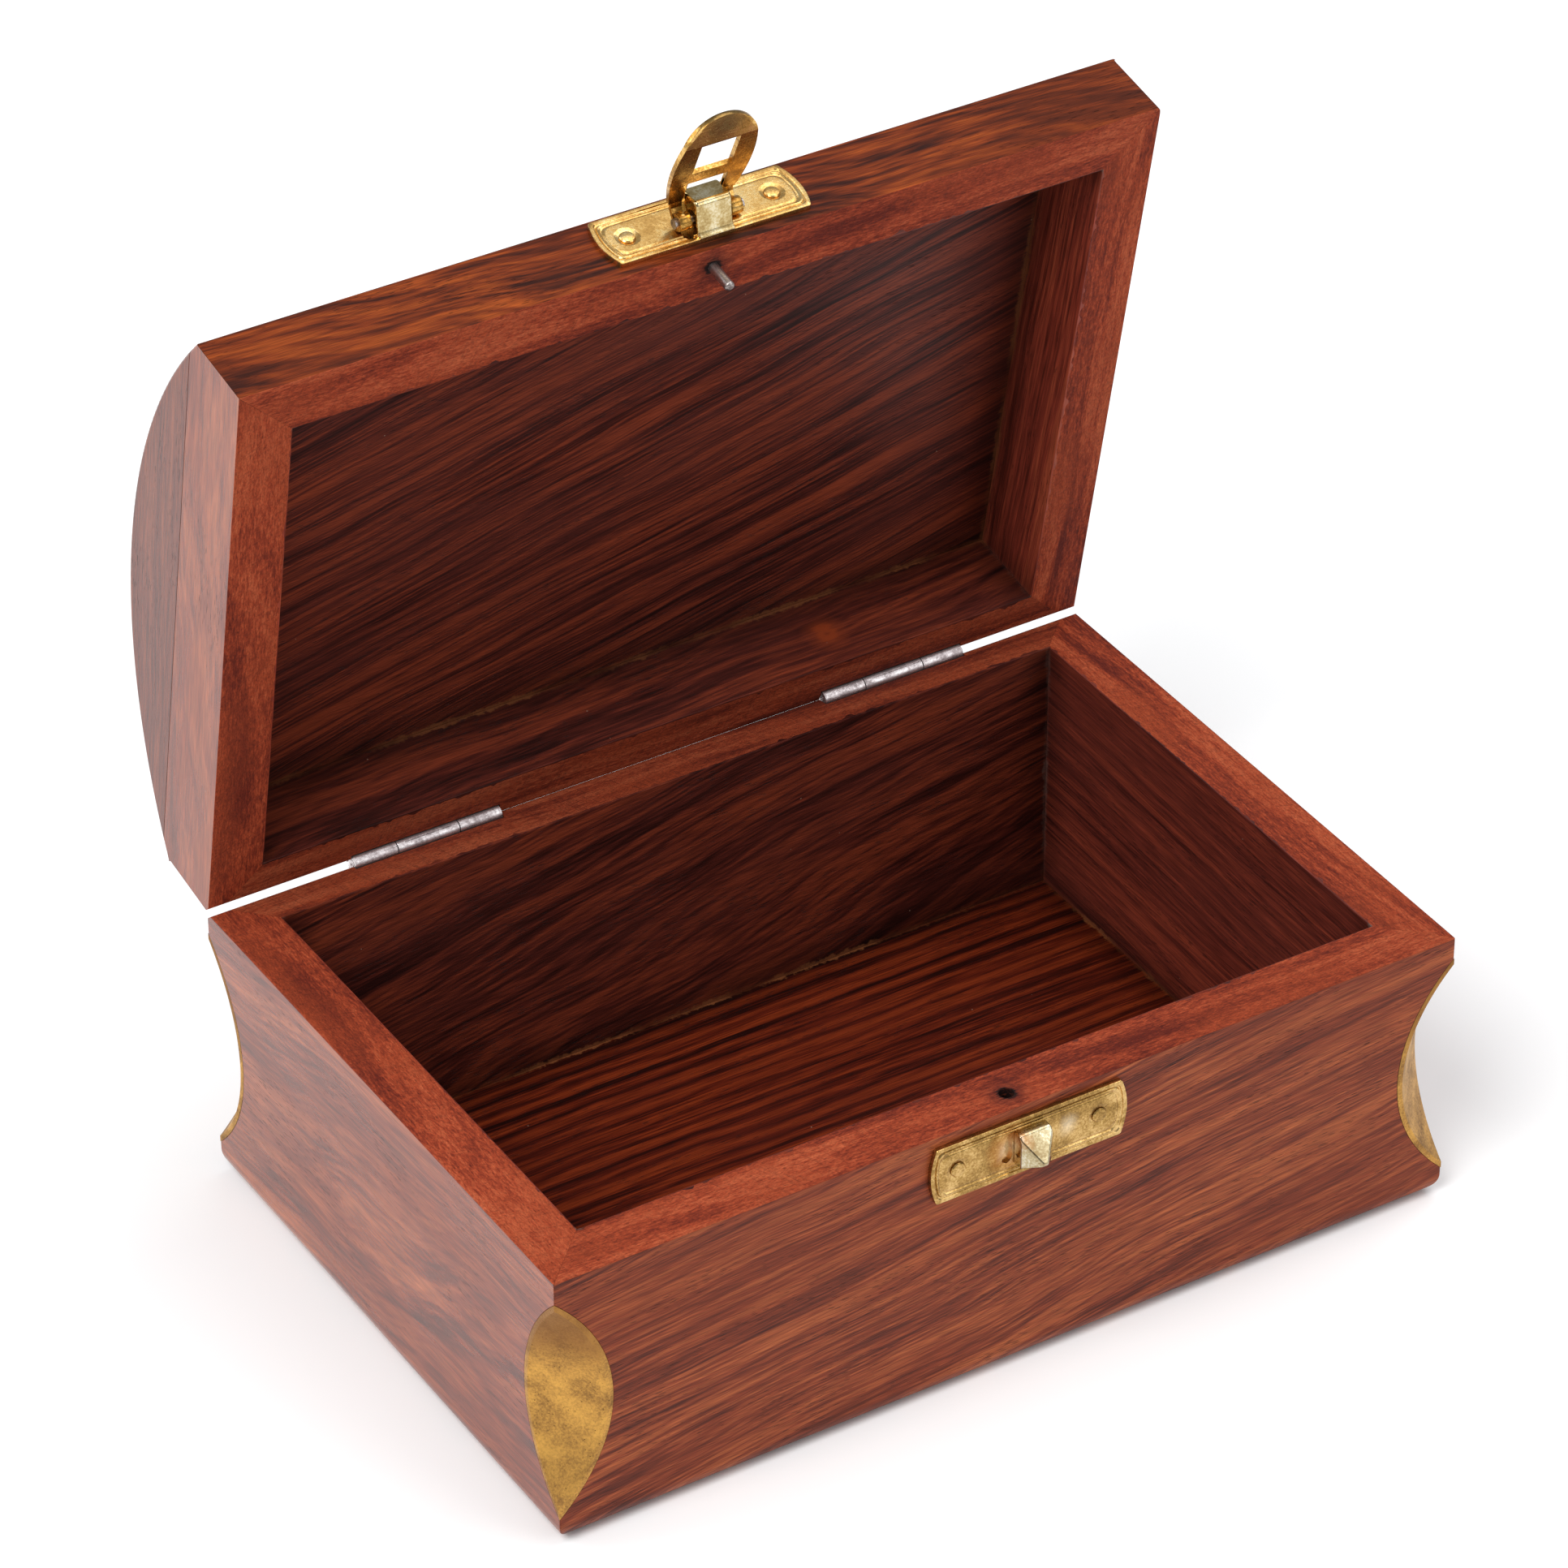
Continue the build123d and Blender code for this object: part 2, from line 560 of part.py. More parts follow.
with BuildPart() as hasp:
    with BuildSketch(hasp_flat):
        with BuildLine():
            Line((-half_slot, -HASP_LEG_START), (-half_root, -HASP_LEG_START))
            ThreePointArc((-half_root, -HASP_LEG_START), (-half_hasp, -HASP_BELLY),
                          (-half_crease, -HASP_WINDOW_END))
            Line((-half_crease, -HASP_WINDOW_END), (half_crease, -HASP_WINDOW_END))
            ThreePointArc((half_crease, -HASP_WINDOW_END), (half_hasp, -HASP_BELLY),
                          (half_root, -HASP_LEG_START))
            Line((half_root, -HASP_LEG_START), (half_slot, -HASP_LEG_START))
            Line((half_slot, -HASP_LEG_START), (half_slot, -HASP_CROSSBAR))
            Line((half_slot, -HASP_CROSSBAR), (-half_slot, -HASP_CROSSBAR))
            Line((-half_slot, -HASP_CROSSBAR), (-half_slot, -HASP_LEG_START))
        make_face()
        with Locations((0, -(HASP_WINDOW_START + HASP_WINDOW_END) / 2)):
            Rectangle(HASP_WINDOW_WIDTH, HASP_WINDOW_END - HASP_WINDOW_START, mode=Mode.SUBTRACT)
    extrude(amount=HASP_SHEET)
    with BuildSketch(hasp_tip):
        with BuildLine():
            Line((-half_crease, 0), (half_crease, 0))
            ThreePointArc((half_crease, 0), (0, -HASP_TIP_LENGTH), (-half_crease, 0))
        make_face()
    extrude(amount=HASP_SHEET)
    add(lugs)
    add(eye_bore, mode=Mode.SUBTRACT)
hasp_at_rest = hasp.part.rotate(hasp_hinge, HASP_CLOSED_LEAN - HASP_OPEN_ANGLE)
hand_over(open_lid(hasp_at_rest), "hasp")

pin_half = HASP_SLOT_WIDTH / 2 + HASP_EYE_LENGTH + HASP_PIN_OVERHANG
with BuildPart() as hasp_pin:
    with BuildSketch(Plane(origin=(HARDWARE_X, hasp_pin_y, hasp_pin_z), z_dir=(1, 0, 0))):
        Circle(HASP_PIN_RADIUS)
    extrude(amount=pin_half, both=True)
hand_over(open_lid(hasp_pin.part), "hasp_pin")

# Locating pin, with a rounded free end
with BuildPart() as locating_pin:
    with BuildSketch(Plane.XY.offset(lid_rim - LOCATOR_SHOWS)):
        with Locations((0, locator_y)):
            Circle(LOCATOR_RADIUS)
    extrude(amount=LOCATOR_SHOWS + LOCATOR_SUNK)
    fillet(locating_pin.edges().filter_by(GeomType.CIRCLE).sort_by(Axis.Z)[0], radius=LOCATOR_TIP)
hand_over(open_lid(locating_pin.part), "locating_pin")
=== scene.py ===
import json
from math import acos, atan2, cos, radians, sin, sqrt, tau

import bmesh
import bpy
from mathutils import Matrix, Vector, noise


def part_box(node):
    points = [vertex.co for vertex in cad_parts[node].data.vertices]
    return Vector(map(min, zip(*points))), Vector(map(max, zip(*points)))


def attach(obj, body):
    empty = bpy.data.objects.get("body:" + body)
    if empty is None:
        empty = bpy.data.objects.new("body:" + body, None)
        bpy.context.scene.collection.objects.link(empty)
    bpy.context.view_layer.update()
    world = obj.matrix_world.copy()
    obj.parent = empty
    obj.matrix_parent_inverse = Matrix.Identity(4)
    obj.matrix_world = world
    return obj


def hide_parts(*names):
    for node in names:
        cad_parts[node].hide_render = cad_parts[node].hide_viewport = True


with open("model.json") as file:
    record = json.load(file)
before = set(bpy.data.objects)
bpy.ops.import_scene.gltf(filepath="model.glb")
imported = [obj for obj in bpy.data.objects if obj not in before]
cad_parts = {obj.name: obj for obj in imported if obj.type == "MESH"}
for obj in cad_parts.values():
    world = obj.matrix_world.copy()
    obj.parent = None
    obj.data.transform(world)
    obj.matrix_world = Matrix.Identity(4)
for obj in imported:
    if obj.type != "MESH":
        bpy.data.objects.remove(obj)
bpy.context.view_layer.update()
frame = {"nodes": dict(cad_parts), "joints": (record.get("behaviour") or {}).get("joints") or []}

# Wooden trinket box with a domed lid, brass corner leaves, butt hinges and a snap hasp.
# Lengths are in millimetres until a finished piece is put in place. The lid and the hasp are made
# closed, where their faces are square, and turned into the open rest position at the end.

TO_MM = 1000.0


def node_box(name):
    """Lowest and highest corner of a CAD node, in millimetres."""
    low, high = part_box(name)
    return low * TO_MM, high * TO_MM


def joint_place(name):
    """Where a joint's axis passes, in millimetres, and its furthest angle, in radians."""
    joint = next(j for j in frame["joints"] if j["name"] == name)
    return Vector(joint["pos_m"]) * TO_MM, radians(joint["range_deg"][1])


def about_x(centre, angle):
    """A turn about an axis through centre that runs along X."""
    return Matrix.Translation(centre) @ Matrix.Rotation(angle, 4, "X") @ Matrix.Translation(-centre)


# ---------------------------------------------------------------- sizes from the frame
front_high = node_box("base_front_wall")[1]
back_high = node_box("base_back_wall")[1]
floor_low, floor_high = node_box("base_floor")
leaf_low, leaf_high = node_box("corner_leaf_front_left")
plate_low, plate_high = node_box("catch_plate")
stud_low, stud_high = node_box("catch_stud")
lower_leaf_low, lower_leaf_high = node_box("hinge_left_lower_leaf")
hasp_low, hasp_high = node_box("hasp")

half_length = front_high.x
half_depth = back_high.y
base_height = front_high.z
inner_x = floor_high.x
inner_front = floor_low.y
inner_back = floor_high.y
floor_top = floor_high.z
back_mitre_x = back_high.x
hardware_x = (plate_low.x + plate_high.x) / 2
plate_sheet = plate_high.y - plate_low.y
hinge_length = lower_leaf_high.x - lower_leaf_low.x
hinge_sheet = lower_leaf_high.y - half_depth

lid_axis, lid_travel = joint_place("lid_hinge")
hasp_axis, hasp_travel = joint_place("hasp_hinge")
open_lid = about_x(lid_axis, -lid_travel)
close_lid = about_x(lid_axis, lid_travel)
hasp_pin = close_lid @ hasp_axis
hinge_spacing = 2 * (hardware_x - (lower_leaf_low.x + lower_leaf_high.x) / 2)
hinge_centres = {"left": hardware_x - hinge_spacing / 2, "right": hardware_x + hinge_spacing / 2}

# ---------------------------------------------------------------- sizes of the woodwork
RIM_GAP = 0.2
LID_HEIGHT = 28.5
LID_FRAME = 14.2
DOME_EDGE = 12.6
FOOT_ROUND = 3.5
CORNER_ROUND = 0.7
RIM_EASE = 0.4
INNER_EASE = 0.22
JOINT_GAP = 0.03
BOARD_GAP = 0.14
SCOOP_RADIUS = 32.0
SCOOP_DEPTH = 5.8
LEAF_SHEET = 0.7
LEAF_GLUE_GAP = 0.06
GROOVE_WIDTH = 1.3
GROOVE_DEPTH = 0.32
GROOVE_END_DEPTH = 1.1
KNUCKLE_RADIUS = 1.3
KNUCKLE_PLAY = 0.2
LOCATOR_INSET = 3.4
LOCATOR_HOLE_RADIUS = 1.15
LOCATOR_HOLE_DEPTH = 6.0
PAST = 1.0

lid_rim = base_height + RIM_GAP
dome_rise = LID_HEIGHT - DOME_EDGE
dome_radius = (half_depth**2 + dome_rise**2) / (2 * dome_rise)
dome_centre = lid_rim + LID_HEIGHT - dome_radius
locator_y = -half_depth + LOCATOR_INSET
scoop_centre_z = (leaf_low.z + leaf_high.z) / 2


# ---------------------------------------------------------------- modelling helpers
def outline_face(bm, points):
    """One face through the given 3-D points."""
    return bm.faces.new([bm.verts.new(point) for point in points])


def thicken(bm, face, move):
    """Pulls a face out into a closed solid."""
    pulled = bmesh.ops.extrude_face_region(bm, geom=[face])["geom"]
    corners = [item for item in pulled if isinstance(item, bmesh.types.BMVert)]
    bmesh.ops.translate(bm, verts=corners, vec=Vector(move))
    bmesh.ops.recalc_face_normals(bm, faces=bm.faces[:])


def upright_prism(points, low, high):
    """A closed solid over an (x, y) outline."""
    bm = bmesh.new()
    thicken(bm, outline_face(bm, [(x, y, low) for x, y in points]), (0, 0, high - low))
    return bm


def bar_along_x(points, low, high):
    """A closed solid whose section is a (y, z) outline."""
    bm = bmesh.new()
    thicken(bm, outline_face(bm, [(low, y, z) for y, z in points]), (high - low, 0, 0))
    return bm


def block(low, high):
    """A closed box between two corners."""
    bm = bmesh.new()
    bmesh.ops.create_cube(bm, size=1.0)
    size = Vector(high) - Vector(low)
    bmesh.ops.scale(bm, verts=bm.verts[:], vec=size)
    bmesh.ops.translate(bm, verts=bm.verts[:], vec=(Vector(high) + Vector(low)) / 2)
    return bm


def rod(radius, start, end, sides=48):
    """A closed round rod between two points."""
    bm = bmesh.new()
    start, end = Vector(start), Vector(end)
    bmesh.ops.create_cone(
        bm, cap_ends=True, segments=sides, radius1=radius, radius2=radius, depth=(end - start).length
    )
    turn = (end - start).to_track_quat("Z", "Y").to_matrix().to_4x4()
    bmesh.ops.transform(bm, verts=bm.verts[:], matrix=Matrix.Translation((start + end) / 2) @ turn)
    return bm


def lathe(profile, sides=32):
    """A closed turned solid: the profile is (radius, height) points from axis to axis."""
    bm = bmesh.new()
    points = [bm.verts.new((radius, 0, height)) for radius, height in profile]
    edges = [bm.edges.new(pair) for pair in zip(points, points[1:])]
    bmesh.ops.spin(
        bm, geom=points + edges, cent=(0, 0, 0), axis=(0, 0, 1), angle=tau, steps=sides, use_merge=True
    )
    bmesh.ops.remove_doubles(bm, verts=bm.verts[:], dist=0.0005)
    bmesh.ops.recalc_face_normals(bm, faces=bm.faces[:])
    return bm


def ease(bm, wanted, width, segments=2):
    """Rounds the edges that the test picks out."""
    chosen = [edge for edge in bm.edges if wanted(edge)]
    if chosen:
        bmesh.ops.bevel(
            bm, geom=chosen, offset=width, offset_type="OFFSET", affect="EDGES", segments=segments,
            profile=0.5, material=-1, clamp_overlap=True
        )


def ease_sharp(bm, width, segments=2, least=radians(35)):
    """Rounds every edge that is sharper than an angle."""
    ease(bm, lambda edge: edge.is_manifold and edge.calc_face_angle(0) > least, width, segments)


def near(value, target, reach=0.02):
    return abs(value - target) < reach


def both_ends(edge, test):
    return test(edge.verts[0].co) and test(edge.verts[1].co)


def join(*solids):
    """Several closed solids as one mesh."""
    whole = solids[0]
    for extra in solids[1:]:
        mesh = bpy.data.meshes.new("part")
        extra.to_mesh(mesh)
        extra.free()
        whole.from_mesh(mesh)
        bpy.data.meshes.remove(mesh)
    return whole


def loose_object(bm, name):
    """A temporary object for cutting."""
    mesh = bpy.data.meshes.new(name)
    bm.to_mesh(mesh)
    obj = bpy.data.objects.new(name, mesh)
    bpy.context.scene.collection.objects.link(obj)
    return obj


def cut(body, cutters, how="DIFFERENCE"):
    """The body after each cutter has been taken out of it, or crossed with it."""
    work = loose_object(body, "cut_body")
    tools = []
    for cutter in cutters:
        tool = loose_object(cutter, "cut_tool")
        modifier = work.modifiers.new("cut", "BOOLEAN")
        modifier.operation = how
        modifier.solver = "MANIFOLD"
        modifier.object = tool
        tools.append(tool)
    graph = bpy.context.evaluated_depsgraph_get()
    result = bmesh.new()
    result.from_object(work, graph)
    for obj in [work, *tools]:
        mesh = obj.data
        bpy.data.objects.remove(obj)
        bpy.data.meshes.remove(mesh)
    bmesh.ops.remove_doubles(result, verts=result.verts[:], dist=0.001)
    bmesh.ops.dissolve_degenerate(result, edges=result.edges[:], dist=0.0005)
    return result


def finish_piece(bm, name, body, node, materials, turn=Matrix.Identity(4), pick=None, sharp=28.0):
    """Turns a finished mesh into a piece that stands for its CAD node and rides on its body."""
    for face in bm.faces:
        face.smooth = True
        if pick:
            face.material_index = pick(face)
    for edge in bm.edges:
        edge.smooth = edge.is_manifold and edge.calc_face_angle(0) < radians(sharp)
    bm.transform(Matrix.Scale(1 / TO_MM, 4) @ turn)
    mesh = bpy.data.meshes.new(name)
    bm.to_mesh(mesh)
    bm.free()
    for material in materials:
        mesh.materials.append(material)
    obj = bpy.data.objects.new(name, mesh)
    bpy.context.scene.collection.objects.link(obj)
    weighted = obj.modifiers.new("flat_faces_stay_flat", "WEIGHTED_NORMAL")
    weighted.keep_sharp = True
    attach(obj, body)
    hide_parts(node)
    return obj


# ---------------------------------------------------------------- material helpers
def tint(red, green, blue):
    """A colour given in the 0 to 255 steps of a screen, as light."""
    steps = [value / 255 for value in (red, green, blue)]
    light = [v / 12.92 if v <= 0.04045 else ((v + 0.055) / 1.055) ** 2.4 for v in steps]
    return (*light, 1.0)


class Recipe:
    """One material's nodes."""

    def __init__(self, name, turn=None):
        self.material = bpy.data.materials.new(name)
        self.material.use_nodes = True
        self.tree = self.material.node_tree
        self.tree.nodes.clear()
        self.surface = self.node("ShaderNodeBsdfPrincipled")
        output = self.node("ShaderNodeOutputMaterial")
        self.tree.links.new(self.surface.outputs[0], output.inputs["Surface"])
        where = self.node("ShaderNodeTexCoord").outputs["Object"]
        turn = turn or Matrix.Identity(4)
        mapping = self.node("ShaderNodeMapping", {
            "Vector": where,
            "Scale": (TO_MM, TO_MM, TO_MM),
            "Rotation": turn.to_euler(),
            "Location": turn.to_translation(),
        })
        self.place = mapping.outputs[0]

    def node(self, kind, inputs=None, **settings):
        made = self.tree.nodes.new(kind)
        for key, value in settings.items():
            setattr(made, key, value)
        for key, value in (inputs or {}).items():
            if isinstance(value, bpy.types.NodeSocket):
                self.tree.links.new(value, made.inputs[key])
            else:
                made.inputs[key].default_value = value
        return made

    def sum(self, how, *values):
        inputs = dict(enumerate(values))
        return self.node("ShaderNodeMath", inputs, operation=how).outputs[0]

    def stretched(self, place, along, across, offset=(0, 0, 0)):
        """The place divided by a length along the grain and a length across it."""
        scale = (1 / along, 1 / across, 1 / across)
        inputs = {"Vector": place, "Scale": scale, "Location": offset}
        return self.node("ShaderNodeMapping", inputs).outputs[0]

    def noise(self, place, detail=3.0, rough=0.5, twist=0.0):
        inputs = {"Vector": place, "Scale": 1.0, "Detail": detail, "Roughness": rough, "Distortion": twist}
        return self.node("ShaderNodeTexNoise", inputs).outputs["Fac"]

    def between(self, value, low, high, start=0.0, end=1.0):
        """A smooth step from start to end while value goes from low to high."""
        inputs = {"Value": value, "From Min": low, "From Max": high, "To Min": start, "To Max": end}
        return self.node("ShaderNodeMapRange", inputs, interpolation_type="SMOOTHSTEP").outputs[0]

    def ramp(self, value, *stops):
        made = self.node("ShaderNodeValToRGB", {"Fac": value})
        elements = made.color_ramp.elements
        while len(elements) < len(stops):
            elements.new(0.5)
        for element, (position, colour) in zip(elements, stops):
            element.position = position
            element.color = colour
        return made.outputs["Color"]

    def mix(self, amount, first, second, blend="MIX"):
        made = self.node("ShaderNodeMix", data_type="RGBA", blend_type=blend)
        for key, value in ((0, amount), (6, first), (7, second)):
            if isinstance(value, bpy.types.NodeSocket):
                self.tree.links.new(value, made.inputs[key])
            else:
                made.inputs[key].default_value = value
        return made.outputs[2]

    def split(self, place):
        made = self.node("ShaderNodeSeparateXYZ", {"Vector": place})
        return made.outputs[0], made.outputs[1], made.outputs[2]

    def merge(self, x, y, z):
        return self.node("ShaderNodeCombineXYZ", {0: x, 1: y, 2: z}).outputs[0]

    def relief(self, height, depth):
        """Bumps of a depth in millimetres."""
        inputs = {"Height": height, "Distance": depth / TO_MM, "Strength": 1.0}
        return self.node("ShaderNodeBump", inputs).outputs[0]

    def connect(self, **sockets):
        for key, value in sockets.items():
            socket = self.surface.inputs[key.replace("_", " ").title().replace("Ior", "IOR")]
            if isinstance(value, bpy.types.NodeSocket):
                self.tree.links.new(value, socket)
            else:
                socket.default_value = value
        return self.material


def grain_place(recipe, grain, heart, waviness):
    """The place with X along the grain, Y the distance from the tree's heart and Z along the ring."""
    x, y, z = recipe.split(recipe.place)
    along, side = (x, y) if grain == "x" else (y, x)
    raw = recipe.merge(along, side, z)
    wander = recipe.noise(recipe.stretched(raw, 70.0, 26.0, heart), detail=2.0)
    drift = recipe.sum("MULTIPLY", recipe.sum("SUBTRACT", wander, 0.5), waviness)
    off_side = recipe.sum("SUBTRACT", side, heart[1])
    off_up = recipe.sum("SUBTRACT", z, heart[2])
    slope = recipe.sum("MULTIPLY", along, heart[0])
    squares = recipe.sum(
        "ADD", recipe.sum("MULTIPLY", off_side, off_side), recipe.sum("MULTIPLY", off_up, off_up)
    )
    ring = recipe.sum("ADD", recipe.sum("SQRT", squares), recipe.sum("ADD", drift, slope))
    return raw, recipe.merge(along, ring, recipe.sum("MULTIPLY", z, 0.08))


def seam_distance(recipe, floor_z, upward):
    """How far a place inside the box is from the nearest glued corner."""
    x, y, z = recipe.split(recipe.place)
    to_side = recipe.sum("SUBTRACT", inner_x, recipe.sum("ABSOLUTE", x))
    to_front = recipe.sum("SUBTRACT", y, inner_front)
    to_back = recipe.sum("SUBTRACT", inner_back, y)
    to_long = recipe.sum("MINIMUM", to_front, to_back)
    to_floor = recipe.sum("MULTIPLY", recipe.sum("SUBTRACT", z, floor_z), upward)
    lesser = recipe.sum("MINIMUM", to_side, to_long)
    greater = recipe.sum("MAXIMUM", to_side, to_long)
    return recipe.sum("MAXIMUM", lesser, recipe.sum("MINIMUM", greater, to_floor))


def wood(name, grain, heart, tones, turn=None, band=2.6, waviness=5.0, pores=0.6, gloss=0.40,
         contrast=1.0, seam=None, coat=0.0, shine=0.22, depth=0.05, marks=(), ribs=None):
    """Rosewood: rings cut along, broken into streaks, with short dark pores along the grain."""
    recipe = Recipe(name, turn)
    dark, middle, light = tones
    raw, rings = grain_place(recipe, grain, heart, waviness)
    bands = recipe.noise(recipe.stretched(rings, 150.0, band), detail=3.0, rough=0.6, twist=0.1)
    streaks = recipe.noise(recipe.stretched(rings, 30.0, band / 5), detail=3.0, rough=0.6)
    threads = recipe.noise(recipe.stretched(rings, 9.0, 0.24, (3, 1, 8)), detail=2.0, rough=0.55)
    fibres = recipe.noise(recipe.stretched(raw, 5.0, 0.11), detail=2.0, rough=0.5)
    figure = recipe.sum("ADD", recipe.sum("MULTIPLY", bands, 0.38), recipe.sum("MULTIPLY", streaks, 0.34))
    figure = recipe.sum("ADD", figure, recipe.sum("MULTIPLY", threads, 0.28))
    if ribs:
        spacing, share = ribs
        turns = recipe.sum("MULTIPLY", recipe.split(rings)[1], tau / spacing)
        wobble = recipe.sum("MULTIPLY", recipe.noise(recipe.stretched(raw, 16.0, 5.0)), 6.0)
        wave = recipe.sum("MULTIPLY", recipe.sum("SINE", recipe.sum("ADD", turns, wobble)), 0.16 * share)
        figure = recipe.sum("ADD", figure, wave)
    half_range = 0.15 / contrast
    shade = recipe.between(figure, 0.5 - half_range, 0.5 + half_range)
    colour = recipe.ramp(shade, (0.0, dark), (0.42, middle), (1.0, light))
    blotch = recipe.noise(recipe.stretched(raw, 46.0, 15.0, (7, 3, 1)), detail=3.0)
    colour = recipe.mix(recipe.between(blotch, 0.35, 0.75, 0.0, 0.4), colour, middle)
    fibre_shade = recipe.between(fibres, 0.22, 0.78, 0.58, 1.42)
    colour = recipe.mix(1.0, colour, recipe.merge(fibre_shade, fibre_shade, fibre_shade), "MULTIPLY")
    cells = recipe.node("ShaderNodeTexVoronoi", {
        "Vector": recipe.stretched(raw, 2.7, 0.3), "Scale": 1.0, "Randomness": 1.0})
    crowd = recipe.noise(recipe.stretched(rings, 22.0, 3.2, (1, 5, 2)), detail=2.0)
    reach = recipe.between(crowd, 0.36, 0.66, 0.04, 0.30)
    inside = recipe.sum("SUBTRACT", reach, cells.outputs["Distance"])
    pore = recipe.sum("MULTIPLY", recipe.between(inside, 0.0, 0.10), pores)
    colour = recipe.mix(pore, colour, tuple(value * 0.4 for value in dark[:3]) + (1.0,))
    rough = recipe.sum("ADD", recipe.between(blotch, 0.3, 0.7, gloss - 0.05, gloss + 0.08),
                       recipe.sum("MULTIPLY", pore, 0.25))
    for centre, radius, spot_colour, strength in marks:
        away = recipe.node("ShaderNodeVectorMath", {0: recipe.place, 1: centre}, operation="DISTANCE")
        edge = recipe.sum("ADD", away.outputs["Value"], recipe.sum("MULTIPLY", streaks, radius * 1.4))
        rings_in_mark = recipe.sum("SINE", recipe.sum("MULTIPLY", edge, 7.0 / radius))
        fade = recipe.between(edge, radius * 1.1, radius * 2.1, strength, 0.0)
        fade = recipe.sum("MULTIPLY", fade, recipe.between(rings_in_mark, -1.0, 1.0, 0.55, 1.0))
        colour = recipe.mix(fade, colour, spot_colour)
    if seam:
        floor_z, upward, strength = seam
        distance = seam_distance(recipe, floor_z, upward)
        ragged = recipe.noise(recipe.stretched(recipe.place, 1.6, 1.6), detail=5.0, rough=0.75)
        width = recipe.between(ragged, 0.30, 0.78, 0.3, 1.25)
        glue = recipe.between(recipe.sum("SUBTRACT", width, distance), 0.0, 0.5)
        patchy = recipe.noise(recipe.stretched(recipe.place, 16.0, 16.0))
        broken = recipe.between(patchy, 0.40, 0.60, 0.15, 1.0)
        glue = recipe.sum("MULTIPLY", glue, recipe.sum("MULTIPLY", broken, strength))
        # Painted shade: the colour is darkened, down to 0.55, within 7 mm of the inside corners and the floor
        # joint.
        corner_shade = recipe.between(distance, 0.0, 7.0, 0.55, 1.0)
        colour = recipe.mix(1.0, colour, recipe.merge(corner_shade, corner_shade, corner_shade), "MULTIPLY")
        above_floor = recipe.sum("SUBTRACT", recipe.split(recipe.place)[2], floor_z)
        height_up = recipe.sum("MULTIPLY", above_floor, upward)
        film = recipe.mix(recipe.between(height_up, 0.8, 2.5), tint(118, 68, 36), tint(98, 76, 68))
        colour = recipe.mix(glue, colour, film)
        specks = recipe.node("ShaderNodeTexVoronoi", {"Vector": recipe.place, "Scale": 0.16})
        dust = recipe.between(specks.outputs["Distance"], 0.012, 0.022, 0.8, 0.0)
        colour = recipe.mix(dust, colour, tint(150, 124, 108))
        rough = recipe.sum("ADD", rough, recipe.sum("MULTIPLY", glue, 0.3))
    height = recipe.sum("SUBTRACT", recipe.sum("MULTIPLY", fibres, 0.3), pore)
    bump = recipe.relief(height, depth)
    return recipe.connect(base_color=colour, roughness=rough, normal=bump, coat_weight=coat,
                          coat_roughness=0.2, specular_ior_level=shine)


